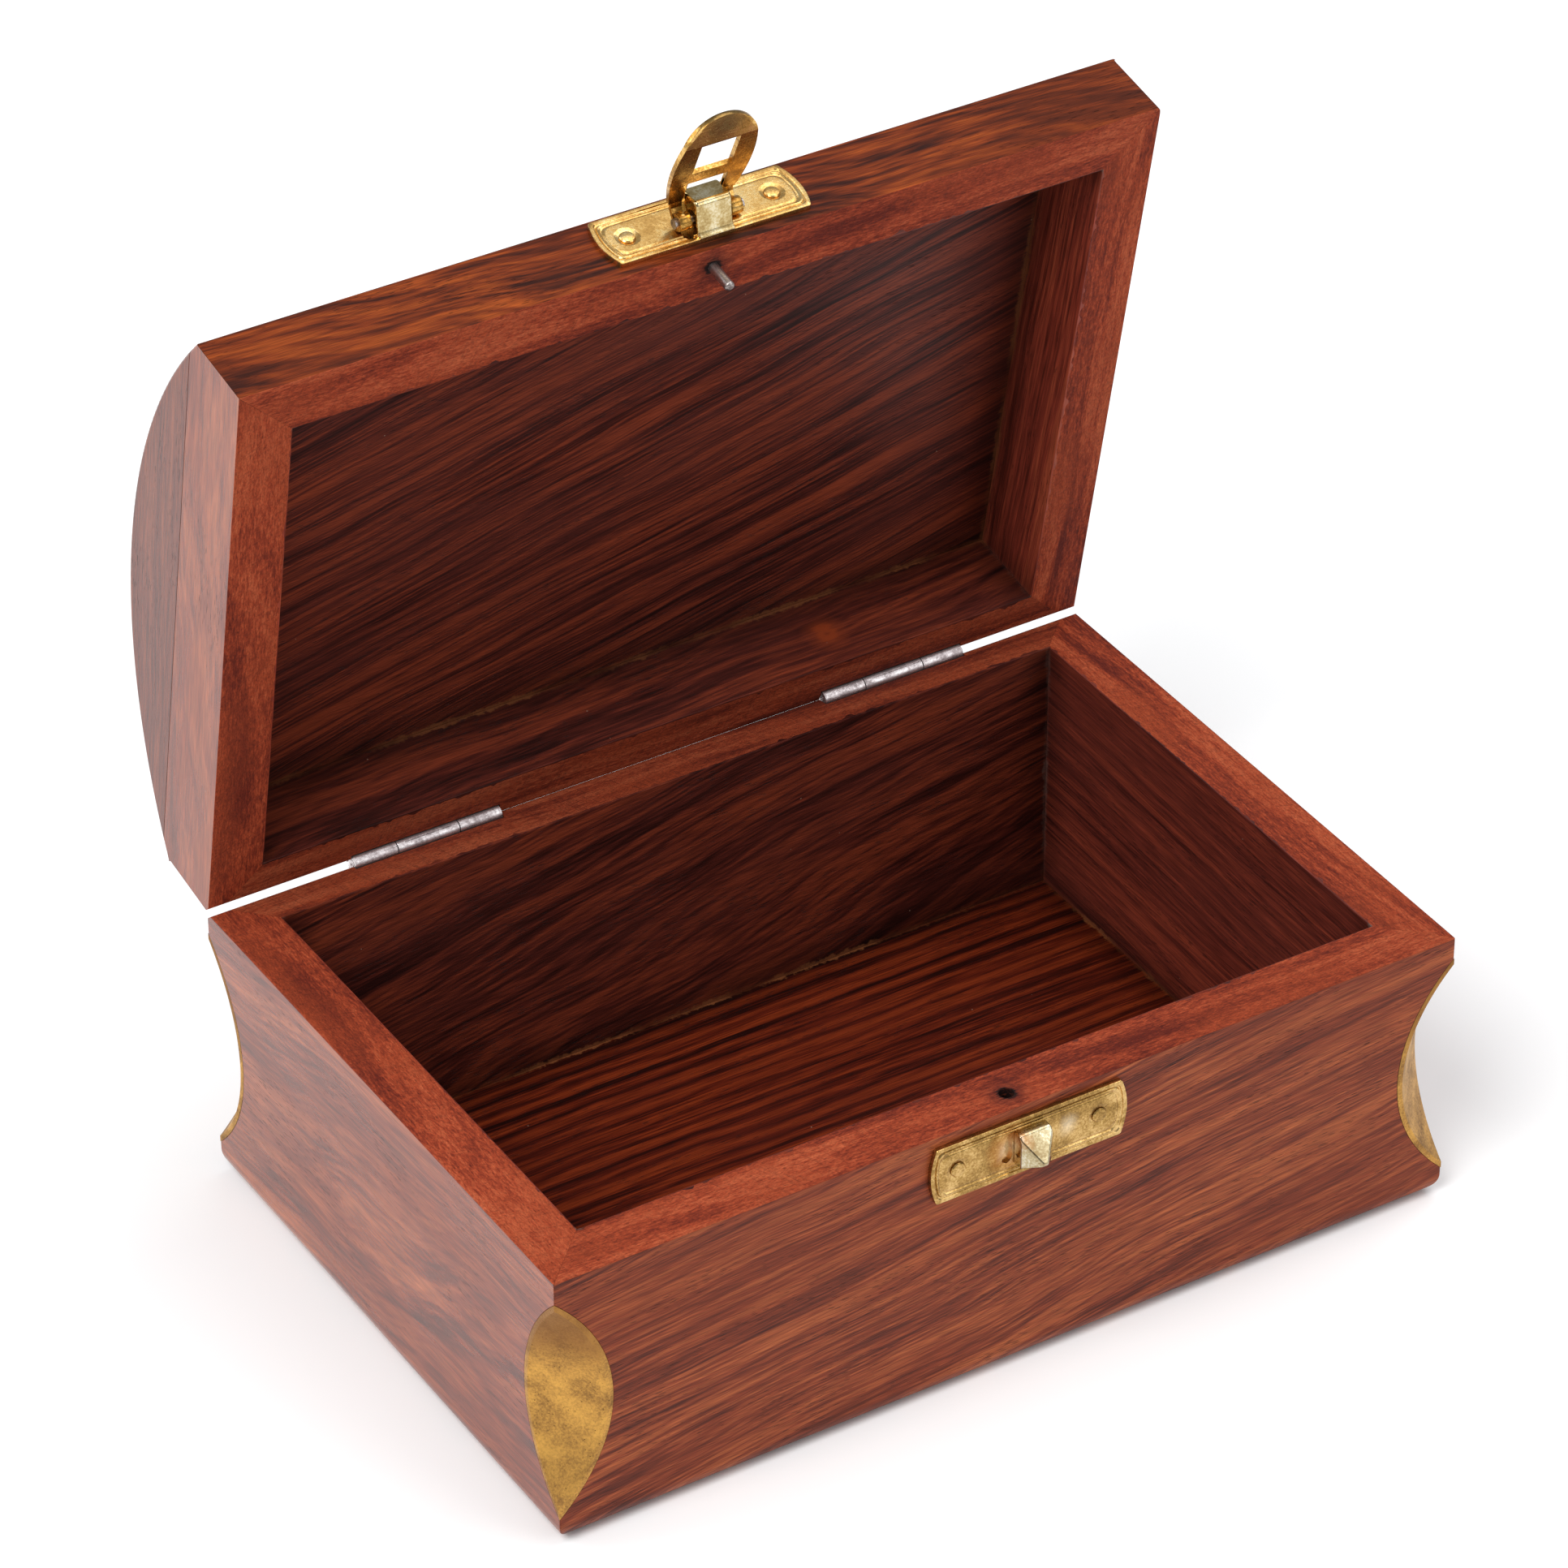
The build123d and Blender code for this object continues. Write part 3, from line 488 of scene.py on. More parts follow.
def sawn_wood(name, grain, turn=None, tone=1.0):
    """The bare rims: sanded across by machine, soft and matte, with fuzz and small scratches."""
    recipe = Recipe(name, turn)
    raw, rings = grain_place(recipe, grain, (0.03, -60.0, 20.0), 6.0)
    bands = recipe.noise(recipe.stretched(rings, 60.0, 3.0), detail=4.0, rough=0.6)
    fuzz = recipe.noise(recipe.stretched(raw, 1.6, 0.35), detail=4.0, rough=0.65)
    shade = recipe.sum("ADD", recipe.sum("MULTIPLY", bands, 0.62), recipe.sum("MULTIPLY", fuzz, 0.38))
    dark, middle, light = [
        tuple(value * tone for value in colour[:3]) + (1.0,)
        for colour in (tint(94, 28, 15), tint(150, 59, 31), tint(186, 92, 56))
    ]
    colour = recipe.ramp(recipe.between(shade, 0.35, 0.64), (0.0, dark), (0.45, middle), (1.0, light))
    blotch = recipe.noise(recipe.stretched(raw, 30.0, 12.0, (4, 4, 4)), detail=3.0)
    colour = recipe.mix(recipe.between(blotch, 0.42, 0.72, 0.0, 0.7), colour, tint(138, 56, 27))
    nap = recipe.noise(recipe.stretched(raw, 0.5, 0.22), detail=3.0, rough=0.7)
    nap_shade = recipe.between(nap, 0.3, 0.7, 0.72, 1.28)
    colour = recipe.mix(1.0, colour, recipe.merge(nap_shade, nap_shade, nap_shade), "MULTIPLY")
    x, y, z = recipe.split(raw)
    across = recipe.merge(recipe.sum("ADD", x, recipe.sum("MULTIPLY", y, 0.35)), y, z)
    scratches = recipe.noise(
        recipe.node("ShaderNodeMapping", {"Vector": across, "Scale": (2.2, 0.16, 0.16)}).outputs[0],
        detail=3.0, rough=0.7)
    marks = recipe.between(scratches, 0.54, 0.70)
    colour = recipe.mix(recipe.sum("MULTIPLY", marks, 0.16), colour, dark)
    cells = recipe.node("ShaderNodeTexVoronoi", {"Vector": recipe.stretched(raw, 2.1, 0.28), "Scale": 1.0})
    pits = recipe.between(cells.outputs["Distance"], 0.08, 0.2, 0.5, 0.0)
    colour = recipe.mix(pits, colour, tuple(value * 0.6 for value in dark[:3]) + (1.0,))
    # Painted shade: the locating hole's wall and lip are painted near black, and the rim around it is
    # darkened in a ragged ring out to about 4.5 mm.
    x, y, z = recipe.split(recipe.place)
    away = recipe.node("ShaderNodeVectorMath", {0: recipe.merge(x, y, 0.0), 1: (0.0, locator_y, 0.0)},
                       operation="DISTANCE")
    ragged = recipe.sum("MULTIPLY", recipe.sum("SUBTRACT", fuzz, 0.5), 2.0)
    edge = recipe.sum("ADD", away.outputs["Value"], ragged)
    colour = recipe.mix(recipe.between(edge, 1.3, 4.5, 0.6, 0.0), colour, tint(66, 20, 16))
    colour = recipe.mix(recipe.between(edge, 1.1, 1.7, 0.96, 0.0), colour, tint(14, 5, 4))
    height = recipe.sum("SUBTRACT", recipe.sum("ADD", fuzz, recipe.sum("MULTIPLY", marks, -0.5)), pits)
    return recipe.connect(base_color=colour, roughness=0.8, specular_ior_level=0.2,
                          normal=recipe.relief(height, 0.12))


def metal(name, colours, turn=None, gloss=(0.2, 0.45), patch=3.0, pits=0.2, scratch=0.25, stains_and_painted_light=(),
          depth=0.02, top_darkening=None):
    """Old plate metal: patches of tone, fine scratches, pits and tarnish, a top that can be made darker, and
    spots of stain, painted highlight and painted shade.
    """
    recipe = Recipe(name, turn)
    patches = recipe.noise(recipe.stretched(recipe.place, patch, patch), detail=5.0, rough=0.6, twist=0.4)
    grit = recipe.noise(recipe.stretched(recipe.place, 0.35, 0.35), detail=3.0, rough=0.6)
    tone = recipe.sum("ADD", recipe.sum("MULTIPLY", patches, 0.62), recipe.sum("MULTIPLY", grit, 0.38))
    dark, middle, light = colours
    colour = recipe.ramp(recipe.between(tone, 0.32, 0.68), (0.0, dark), (0.5, middle), (1.0, light))
    lines = recipe.noise(
        recipe.node("ShaderNodeMapping", {"Vector": recipe.place, "Rotation": (0.3, 0.5, 0.6),
                                          "Scale": (0.35, 9.0, 9.0)}).outputs[0], detail=3.0, rough=0.7)
    rubbed = recipe.between(lines, 0.55, 0.75)
    colour = recipe.mix(recipe.sum("MULTIPLY", rubbed, scratch), colour, light)
    cells = recipe.node("ShaderNodeTexVoronoi", {"Vector": recipe.place, "Scale": 1.2})
    spots = recipe.between(cells.outputs["Distance"], 0.04, 0.13, pits, 0.0)
    colour = recipe.mix(spots, colour, tuple(value * 0.25 for value in dark[:3]) + (1.0,))
    # The sheet is blended towards a brown above a given height, so it is darker towards its top.
    if top_darkening:
        low, high, spot_colour = top_darkening
        height = recipe.sum("ADD", recipe.split(recipe.place)[2], recipe.sum("MULTIPLY", patches, 9.0))
        colour = recipe.mix(recipe.between(height, low, high, 0.0, 0.75), colour, spot_colour)
    # Spots: stains, and on the catch plate also painted highlights and painted shade.
    for centre, radius, spot_colour, strength in stains_and_painted_light:
        away = recipe.node("ShaderNodeVectorMath", {0: recipe.place, 1: centre}, operation="DISTANCE")
        edge = recipe.sum("ADD", away.outputs["Value"], recipe.sum("MULTIPLY", patches, 3.0))
        spot_amount = recipe.between(edge, radius, radius + 3.0, strength, 0.0)
        colour = recipe.mix(spot_amount, colour, spot_colour)
    rough = recipe.sum("ADD", recipe.between(tone, 0.3, 0.7, gloss[1], gloss[0]),
                       recipe.sum("MULTIPLY", spots, 0.4))
    height = recipe.sum("SUBTRACT", recipe.sum("MULTIPLY", patches, 0.8),
                        recipe.sum("ADD", spots, recipe.sum("MULTIPLY", rubbed, 0.15)))
    return recipe.connect(base_color=colour, roughness=rough, metallic=1.0,
                          normal=recipe.relief(height, depth))


# ---------------------------------------------------------------- the materials
OUTSIDE = (tint(62, 23, 15), tint(120, 51, 28), tint(166, 88, 48))
INSIDE = (tint(30, 10, 9), tint(80, 31, 23), tint(126, 54, 32))
LID_END_INSIDE = (tint(70, 26, 19), tint(130, 52, 37), tint(166, 80, 52))
BASE_END_INSIDE = (tint(44, 16, 14), tint(98, 40, 31), tint(142, 62, 42))
FLOOR_TONES = (tint(30, 8, 6), tint(78, 23, 11), tint(116, 44, 18))
LID_FRONT_TONES = (tint(44, 15, 8), tint(106, 42, 14), tint(146, 68, 22))
DOME_TONES = (tint(60, 26, 22), tint(100, 48, 36), tint(134, 72, 48))
lid_turn = close_lid
base_seam = (floor_top, 1.0, 0.75)
lid_seam = (lid_rim + LID_FRAME, -1.0, 0.7)
knot = (Vector((34.0, inner_back, lid_rim + 6.5)), 3.0, tint(136, 56, 26), 0.9)

base_long_out = wood("rosewood_base_long", "x", (-0.10, -140.0, -60.0), OUTSIDE, shine=0.16)
base_short_out = wood("rosewood_base_ends", "y", (0.04, 160.0, -40.0), OUTSIDE, contrast=0.8, gloss=0.26,
                      coat=0.28, shine=0.45)
base_long_in = wood("rosewood_base_long_inside", "x", (-0.10, 150.0, -30.0), INSIDE, contrast=1.15,
                    gloss=0.45, seam=base_seam)
base_short_in = wood("rosewood_base_ends_inside", "y", (0.03, 90.0, 190.0), BASE_END_INSIDE, contrast=0.8,
                     gloss=0.45, seam=base_seam)
base_floor_face = wood("rosewood_floor", "x", (0.0, 260.0, 6.0), FLOOR_TONES, band=2.2, waviness=2.5,
                       ribs=(3.0, 0.4), contrast=1.1, gloss=0.42, shine=0.12, seam=base_seam)
base_long_rim = sawn_wood("sawn_rim_base_long", "x", None, 0.84)
# Painted shade: the base's back rim lies in the lid's shade at the hinge and is a darker copy of the rim
# material.
base_back_rim_shaded = sawn_wood("sawn_rim_base_back_painted_shade", "x", None, 0.62)
base_short_rim = sawn_wood("sawn_rim_base_ends", "y", None, 0.89)
lid_long_out = wood("rosewood_lid_long", "x", (0.03, -110.0, 34.0), LID_FRONT_TONES, turn=lid_turn, band=3.6,
                    contrast=1.35, shine=0.1)
lid_short_out = wood("rosewood_lid_ends", "y", (0.02, 120.0, 20.0), OUTSIDE, turn=lid_turn, contrast=0.7,
                     gloss=0.24, coat=0.17, shine=0.4)
lid_long_in = wood("rosewood_lid_long_inside", "x", (0.04, -150.0, 120.0), INSIDE, turn=lid_turn, gloss=0.45,
                   seam=lid_seam, marks=[knot])
lid_short_in = wood("rosewood_lid_ends_inside", "y", (0.03, 110.0, 160.0), LID_END_INSIDE, turn=lid_turn,
                    gloss=0.45, seam=lid_seam)
lid_top_out = wood("rosewood_dome", "x", (0.03, 150.0, -120.0), DOME_TONES, turn=lid_turn, band=3.0,
                   gloss=0.32, coat=0.2, shine=0.4)
lid_top_end = wood("rosewood_dome_ends", "y", (0.03, 20.0, -30.0), DOME_TONES, turn=lid_turn, contrast=0.7,
                   gloss=0.2, coat=0.1, shine=0.28)
lid_top_in = wood("rosewood_dome_inside", "x", (0.26, -70.0, 40.0), INSIDE, turn=lid_turn, band=2.6,
                  waviness=6.0, contrast=1.35, gloss=0.45, seam=lid_seam)
lid_long_rim = sawn_wood("sawn_rim_lid_long", "x", lid_turn, 0.9)
# Painted shade: the lid's back rim lies in the crease at the hinge and is a darker copy of the rim material.
lid_back_rim_shaded = sawn_wood("sawn_rim_lid_back_painted_shade", "x", lid_turn, 0.66)
lid_short_rim = sawn_wood("sawn_rim_lid_ends", "y", lid_turn, 0.93)

LEAF_TONES = (tint(134, 98, 58), tint(180, 136, 72), tint(212, 162, 82))
GOLD = (tint(176, 132, 70), tint(220, 176, 104), tint(246, 216, 154))
CATCH_GOLD = (tint(120, 90, 46), tint(170, 134, 76), tint(220, 184, 122))
ORANGE = tint(160, 92, 26)
# Near-white used for painted highlights on the catch plate.
PALE_HIGHLIGHT = tint(250, 236, 206)
leaf_brass = metal("leaf_brass", LEAF_TONES, gloss=(0.40, 0.58), patch=4.5, pits=0.9, scratch=0.5, depth=0.06,
                   top_darkening=(scoop_centre_z + 8, scoop_centre_z + 15, tint(140, 96, 52)))
hasp_root = Vector((hardware_x - 4.0, hasp_pin.y, hasp_pin.z))
hasp_tip = close_lid @ Vector((hardware_x, (hasp_low.y + 2.0), hasp_high.z - 1.5))
stud_root = Vector((hardware_x - 3.0, -half_depth - plate_sheet, (stud_low.z + stud_high.z) / 2))
# The pale spots on the catch plate are painted highlights, and the dark brown spot at the stud's root is
# painted shade.
plate_brass = metal("catch_plate_brass", CATCH_GOLD, gloss=(0.18, 0.32), patch=5.0, pits=0.4, stains_and_painted_light=[
    (stud_root + Vector((9.5, 0, 0)), 0.9, PALE_HIGHLIGHT, 0.5),
    (stud_root, 3.4, ORANGE, 0.55),
    (stud_root, 1.6, PALE_HIGHLIGHT, 0.5),
    (stud_root + Vector((0.6, 0, 0)), 0.5, tint(110, 56, 14), 0.95),
])
lid_plate_brass = metal("hasp_plate_brass", GOLD, turn=lid_turn, gloss=(0.18, 0.34), patch=5.0, pits=0.3,
                        stains_and_painted_light=[(hasp_root, 1.6, ORANGE, 0.9)])
stud_metal = metal("stud_brass", (tint(140, 120, 84), tint(184, 170, 134), tint(226, 222, 204)),
                   gloss=(0.1, 0.18), patch=3.5, pits=0.1,
                   stains_and_painted_light=[(stud_root + Vector((0, -1.0, 2.2)), 1.4, ORANGE, 0.8)])
bridge_metal = metal("bridge_brass", (tint(150, 120, 70), tint(192, 168, 116), tint(228, 216, 182)),
                     turn=lid_turn, gloss=(0.08, 0.16), patch=3.4, pits=0.1, depth=0.01,
                     stains_and_painted_light=[(hasp_root + Vector((0.6, 0, 0)), 0.2, ORANGE, 0.7)])
hasp_metal = metal("hasp_brass", (tint(124, 86, 38), tint(184, 138, 66), tint(232, 190, 118)), turn=lid_turn,
                   gloss=(0.16, 0.34), patch=2.6, pits=0.3, stains_and_painted_light=[(hasp_tip, 3.2, tint(116, 94, 58), 0.85)])
STEEL = (tint(160, 148, 148), tint(214, 204, 204), tint(242, 238, 238))
hinge_metal = metal("hinge_nickel", STEEL, gloss=(0.34, 0.5), patch=2.2, pits=0.4)
lid_hinge_metal = metal("hinge_nickel_lid", STEEL, turn=lid_turn, gloss=(0.34, 0.5), patch=2.2, pits=0.4)
pin_metal = metal("wire_steel", (tint(110, 98, 94), tint(160, 150, 146), tint(200, 194, 190)),
                  turn=lid_turn, gloss=(0.28, 0.45), patch=1.6, pits=0.3)


# ---------------------------------------------------------------- woodwork
def scoop_bar(side_x, side_y, radius):
    """The round bar that scoops one corner."""
    reach = (SCOOP_RADIUS - SCOOP_DEPTH) / sqrt(2)
    centre = Vector((side_x * (half_length + reach), side_y * (half_depth + reach), scoop_centre_z))
    across = Vector((side_y, -side_x, 0)).normalized() * 2 * SCOOP_RADIUS
    return rod(radius, centre - across, centre + across, 320)


def back_cutters(rim_z, up):
    """What is planed off a rim's back edge, and the notches for the hinge barrels."""
    outer = half_depth + PAST
    edge = half_depth - GROOVE_WIDTH
    ends = (-half_length - PAST, half_length + PAST)
    left_end = hinge_centres["left"] - hinge_length / 2
    right_end = hinge_centres["right"] + hinge_length / 2

    def wedge(depth, low, high):
        slope = depth / GROOVE_WIDTH
        return bar_along_x([
            (edge, rim_z), (outer, rim_z + up * (depth + slope * PAST)),
            (outer, rim_z - up * PAST), (edge, rim_z - up * PAST)], low, high)

    cutters = [
        wedge(GROOVE_DEPTH, left_end - 0.5, right_end + 0.5),
        wedge(GROOVE_END_DEPTH, ends[0], left_end),
        wedge(GROOVE_END_DEPTH, right_end, ends[1]),
    ]
    reach = KNUCKLE_RADIUS + KNUCKLE_PLAY
    far_z = lid_axis.z + up * reach
    near_z = rim_z - up * PAST
    for centre in hinge_centres.values():
        half_notch = hinge_length / 2 + KNUCKLE_PLAY
        cutters.append(block(
            (centre - half_notch, lid_axis.y - reach, min(far_z, near_z)),
            (centre + half_notch, outer, max(far_z, near_z))))
    return cutters


def on_diagonal(place):
    """Whether a place is as far from the end as from the front or back."""
    return near(half_length - abs(place.x), half_depth - abs(place.y))


def base_form():
    """The whole base as one shaped block."""
    form = block((-half_length, -half_depth, 0), (half_length, half_depth, base_height))
    ease(form, lambda e: both_ends(e, lambda v: near(v.z, 0)), FOOT_ROUND, 10)
    ease(form, lambda e: both_ends(e, on_diagonal), CORNER_ROUND, 4)
    ease(form, lambda e: both_ends(e, lambda v: near(v.z, base_height) and v.y < half_depth - 0.1),
         RIM_EASE, 3)
    scoops = [scoop_bar(x, y, SCOOP_RADIUS + LEAF_SHEET) for x in (-1, 1) for y in (-1, 1)]
    hole = rod(LOCATOR_HOLE_RADIUS, (0, locator_y, base_height - LOCATOR_HOLE_DEPTH),
               (0, locator_y, base_height + PAST))
    return cut(form, scoops + back_cutters(base_height, -1) + [hole])


def lid_form():
    """The whole lid as one shaped block, under an arc that runs its whole length."""
    half_angle = acos((lid_rim + DOME_EDGE - dome_centre) / dome_radius)
    steps = 72
    arc = [
        (dome_radius * sin(half_angle * (1 - 2 * i / steps)),
         dome_centre + dome_radius * cos(half_angle * (1 - 2 * i / steps)))
        for i in range(steps + 1)
    ]
    section = [(-half_depth, lid_rim), (half_depth, lid_rim)] + arc
    form = bar_along_x(section, -half_length, half_length)
    ease(form, lambda e: both_ends(e, lambda v: v.z > lid_rim + 0.1 and near(abs(v.x), half_length)), 0.5, 3)
    ease(form, lambda e: both_ends(e, lambda v: near(abs(v.x), half_length, 0.6)
                                   and near(abs(v.y), half_depth))
         and abs(e.verts[0].co.z - e.verts[1].co.z) > 5, CORNER_ROUND, 4)
    ease(form, lambda e: both_ends(e, lambda v: near(v.z, lid_rim) and v.y < half_depth - 0.1), RIM_EASE, 3)
    return cut(form, back_cutters(lid_rim, 1))


def wall_plans():
    """Each mitred wall's outline, run past the outer faces so that the shaped form trims it."""
    over = 2
    x, y, mitre_x = half_length + over, half_depth + over, back_mitre_x + over
    gap = JOINT_GAP
    plans = {
        "front_wall": [(-x + gap, -y), (x - gap, -y), (inner_x - gap, inner_front),
                       (-inner_x + gap, inner_front)],
        "back_wall": [(-inner_x + gap, inner_back), (inner_x - gap, inner_back), (mitre_x - gap, y),
                      (-mitre_x + gap, y)],
    }
    for name, sign in (("right_wall", 1), ("left_wall", -1)):
        plans[name] = [(sign * x, -y + gap), (sign * x, y), (sign * mitre_x, y), (sign * inner_x, inner_back),
                       (sign * inner_x, inner_front)]
    return plans


def rim_nicks(bm, rim_z, seed):
    """Roughens the inner edge of a sawn rim with small torn fibres."""
    long_edges = [
        edge for edge in bm.edges
        if both_ends(edge, lambda v: near(v.z, rim_z, 0.05)) and edge.calc_length() > 40
        and (near(edge.verts[0].co.y, edge.verts[1].co.y) or near(edge.verts[0].co.x, edge.verts[1].co.x))
        and max(abs(v.co.x) for v in edge.verts) < inner_x + 0.5
        and inner_front - 0.5 < min(v.co.y for v in edge.verts)
        and max(v.co.y for v in edge.verts) < inner_back + 0.5
    ]
    made = bmesh.ops.subdivide_edges(bm, edges=long_edges, cuts=220)
    for item in made["geom_inner"]:
        if isinstance(item, bmesh.types.BMVert):
            where = item.co * 1.3 + Vector((seed, 0, 0))
            tear = max(0.0, noise.noise(where * 0.5) - 0.16) * 1.3
            jitter = noise.noise(where * 2.1) * 0.08
            outward = Vector((0, 0, 0))
            if abs(item.co.x) > inner_x - 0.6:
                outward.x = 1 if item.co.x > 0 else -1
            elif item.co.y < 0:
                outward.y = -1
            else:
                outward.y = 1
            item.co += outward * (tear + jitter)


def shade_base_wall(face):
    """0 outside, 1 rim, 2 inside."""
    centre, facing = face.calc_center_median(), face.normal
    if abs(centre.x) < 1.3 and abs(centre.y - locator_y) < 1.3 and centre.z > 30:
        return 1
    within = inner_front - 0.3 < centre.y < inner_back + 0.3 and abs(centre.x) < inner_x + 0.3
    if centre.z > base_height - GROOVE_END_DEPTH - 0.3 and facing.z > (0.97 if within else 0.35):
        return 1
    if within:
        return 2
    return 1 if facing.z < -0.95 else 0


def shade_lid_wall(face):
    """0 outside, 1 rim, 2 inside."""
    centre, facing = face.calc_center_median(), face.normal
    within = inner_front - 0.3 < centre.y < inner_back + 0.3 and abs(centre.x) < inner_x + 0.3
    if centre.z < lid_rim + GROOVE_END_DEPTH + 0.3 and facing.z < (-0.97 if within else -0.35):
        return 1
    return 2 if within else 0


def inner_rim(edge, rim_z):
    """Whether an edge runs round the opening, at the rim."""
    return both_ends(edge, lambda v: near(v.z, rim_z) and inner_front - 0.05 < v.y < inner_back + 0.05
                     and abs(v.x) < inner_x + 0.05)


def make_walls():
    base, lid = base_form(), lid_form()
    for number, (name, plan) in enumerate(wall_plans().items()):
        long_wall = name in ("front_wall", "back_wall")
        wall = cut(base.copy(), [upright_prism(plan, -PAST, base_height + PAST)], "INTERSECT")
        ease(wall, lambda e: inner_rim(e, base_height), INNER_EASE, 2)
        rim_nicks(wall, base_height, number * 7.3)
        rim = base_back_rim_shaded if name == "back_wall" else base_long_rim
        paints = [base_long_out, rim, base_long_in] if long_wall else \
            [base_short_out, base_short_rim, base_short_in]
        finish_piece(wall, f"base_{name}_board", "base", f"base_{name}", paints,
                     pick=shade_base_wall)
        wall = cut(lid.copy(), [upright_prism(plan, lid_rim - PAST, lid_rim + LID_FRAME)], "INTERSECT")
        ease(wall, lambda e: inner_rim(e, lid_rim), INNER_EASE, 2)
        rim_nicks(wall, lid_rim, number * 5.1 + 3)
        rim = lid_back_rim_shaded if name == "back_wall" else lid_long_rim
        paints = [lid_long_out, rim, lid_long_in] if long_wall else \
            [lid_short_out, lid_short_rim, lid_short_in]
        finish_piece(wall, f"lid_{name}_board", "lid", f"lid_{name}", paints, open_lid,
                     shade_lid_wall)
    top = cut(lid, [block((-half_length - PAST, -half_depth - PAST, lid_rim + LID_FRAME + BOARD_GAP),
                          (half_length + PAST, half_depth + PAST, lid_rim + LID_HEIGHT + PAST))], "INTERSECT")
    ease(top, lambda e: both_ends(e, lambda v: near(v.z, lid_rim + LID_FRAME + BOARD_GAP)), 0.06, 1)
    finish_piece(top, "dome_board", "lid", "lid_top", [lid_top_out, lid_top_in, lid_top_end],
                 open_lid, lambda face: 1 if face.normal.z < -0.9 else 2 if abs(face.normal.x) > 0.9 else 0)
    base.free()


def make_floor():
    board = block((-inner_x + JOINT_GAP, inner_front + JOINT_GAP, 0.05),
                  (inner_x - JOINT_GAP, inner_back - JOINT_GAP, floor_top))
    ease_sharp(board, 0.12, 2)
    finish_piece(board, "floor_board", "base", "base_floor", [base_floor_face, base_long_rim],
                 pick=lambda face: 1 if face.normal.z < -0.9 else 0)


# ---------------------------------------------------------------- corner leaves
LEAF_ACROSS = 20
LEAF_ALONG = 72


def make_corner_leaf(name, side_x, side_y):
    """A sheet bent into the scoop: its half width is how deep the scoop is at each height."""
    off = SCOOP_RADIUS - SCOOP_DEPTH
    reach = off / sqrt(2)
    axis = Vector((side_x * (half_length + reach), side_y * (half_depth + reach), scoop_centre_z))
    inward = Vector((-side_x, -side_y, 0)).normalized()
    across = Vector((-side_x, side_y, 0)).normalized()
    sheet = bmesh.new()
    bmesh.ops.create_grid(sheet, x_segments=LEAF_ACROSS, y_segments=LEAF_ALONG, size=1.0)
    pulled = bmesh.ops.extrude_face_region(sheet, geom=sheet.faces[:])["geom"]
    back = [item for item in pulled if isinstance(item, bmesh.types.BMVert)]
    bmesh.ops.translate(sheet, verts=back, vec=(0, 0, 1))
    for vert in sheet.verts:
        part_across, part_along, layer = vert.co
        radius = SCOOP_RADIUS + layer * (LEAF_SHEET - LEAF_GLUE_GAP)
        angle = part_along * acos(off / radius)
        half_width = max(0.0, radius * cos(angle) - off)
        dent = 0.0
        if layer < 0.5:
            spot = Vector((part_across * 5.8, part_along * 18, side_x * 3 + side_y * 7))
            dent = 0.05 * noise.noise(spot * 0.5) + 0.02 * noise.noise(spot * 1.7)
            dent *= max(0.0, 1 - part_across**4) * max(0.0, 1 - part_along**4)
        radius += dent
        vert.co = (axis + inward * (radius * cos(angle)) + Vector((0, 0, 1)) * (radius * sin(angle))
                   + across * (part_across * half_width))
    bmesh.ops.remove_doubles(sheet, verts=sheet.verts[:], dist=0.01)
    bmesh.ops.dissolve_degenerate(sheet, edges=sheet.edges[:], dist=0.005)
    bmesh.ops.recalc_face_normals(sheet, faces=sheet.faces[:])
    ease(sheet, lambda e: e.is_manifold and e.calc_face_angle(0) > radians(40), 0.07, 2)
    finish_piece(sheet, f"{name}_sheet", "base", name, [leaf_brass])


def make_corner_leaves():
    for name, side_x, side_y in (
        ("corner_leaf_front_left", -1, -1), ("corner_leaf_front_right", 1, -1),
        ("corner_leaf_back_left", -1, 1), ("corner_leaf_back_right", 1, 1),
    ):
        make_corner_leaf(name, side_x, side_y)


# ---------------------------------------------------------------- nails
NAIL_RADIUS = 0.6
NAIL_HEAD_RADIUS = 1.2
NAIL_HEAD = 0.4
NAIL_SHANK = 3.5


def nail(spot, out):
    """One flat-headed nail: spot is on the sheet it holds, out is +1 or -1 along Y."""
    body = lathe([
        (0, NAIL_HEAD), (NAIL_HEAD_RADIUS - 0.45, NAIL_HEAD), (NAIL_HEAD_RADIUS - 0.15, NAIL_HEAD * 0.86),
        (NAIL_HEAD_RADIUS, NAIL_HEAD * 0.45), (NAIL_HEAD_RADIUS - 0.05, 0.0), (NAIL_RADIUS, -0.05),
        (NAIL_RADIUS - 0.05, -NAIL_SHANK), (0, -NAIL_SHANK - 1.0)])
    turn = Vector((0, out, 0)).to_track_quat("Z", "Y").to_matrix().to_4x4()
    bmesh.ops.transform(body, verts=body.verts[:], matrix=Matrix.Translation(spot) @ turn)
    return body


# ---------------------------------------------------------------- hinges
BARREL_SHEET = 0.8
LEAF_SHOULDER = 1.6
LEAF_REACH = 10.5
MIDDLE_KNUCKLE = 10.4
KNUCKLE_GAP = 0.1
HINGE_NAIL_SPACING = 17.0
BASE_SEAM_ANGLE = 172.0
LID_SEAM_ANGLE = 203.0


def bent_strap(path, sheet, low, high):
    """A strap of constant thickness whose centre line is a (y, z) path."""
    left, right = [], []
    for index, point in enumerate(path):
        before = path[max(index - 1, 0)]
        after = path[min(index + 1, len(path) - 1)]
        run = Vector((after[0] - before[0], after[1] - before[1])).normalized()
        side = Vector((-run.y, run.x)) * sheet / 2
        left.append((point[0] + side.x, point[1] + side.y))
        right.append((point[0] - side.x, point[1] - side.y))
    return bar_along_x(left + right[::-1], low, high)


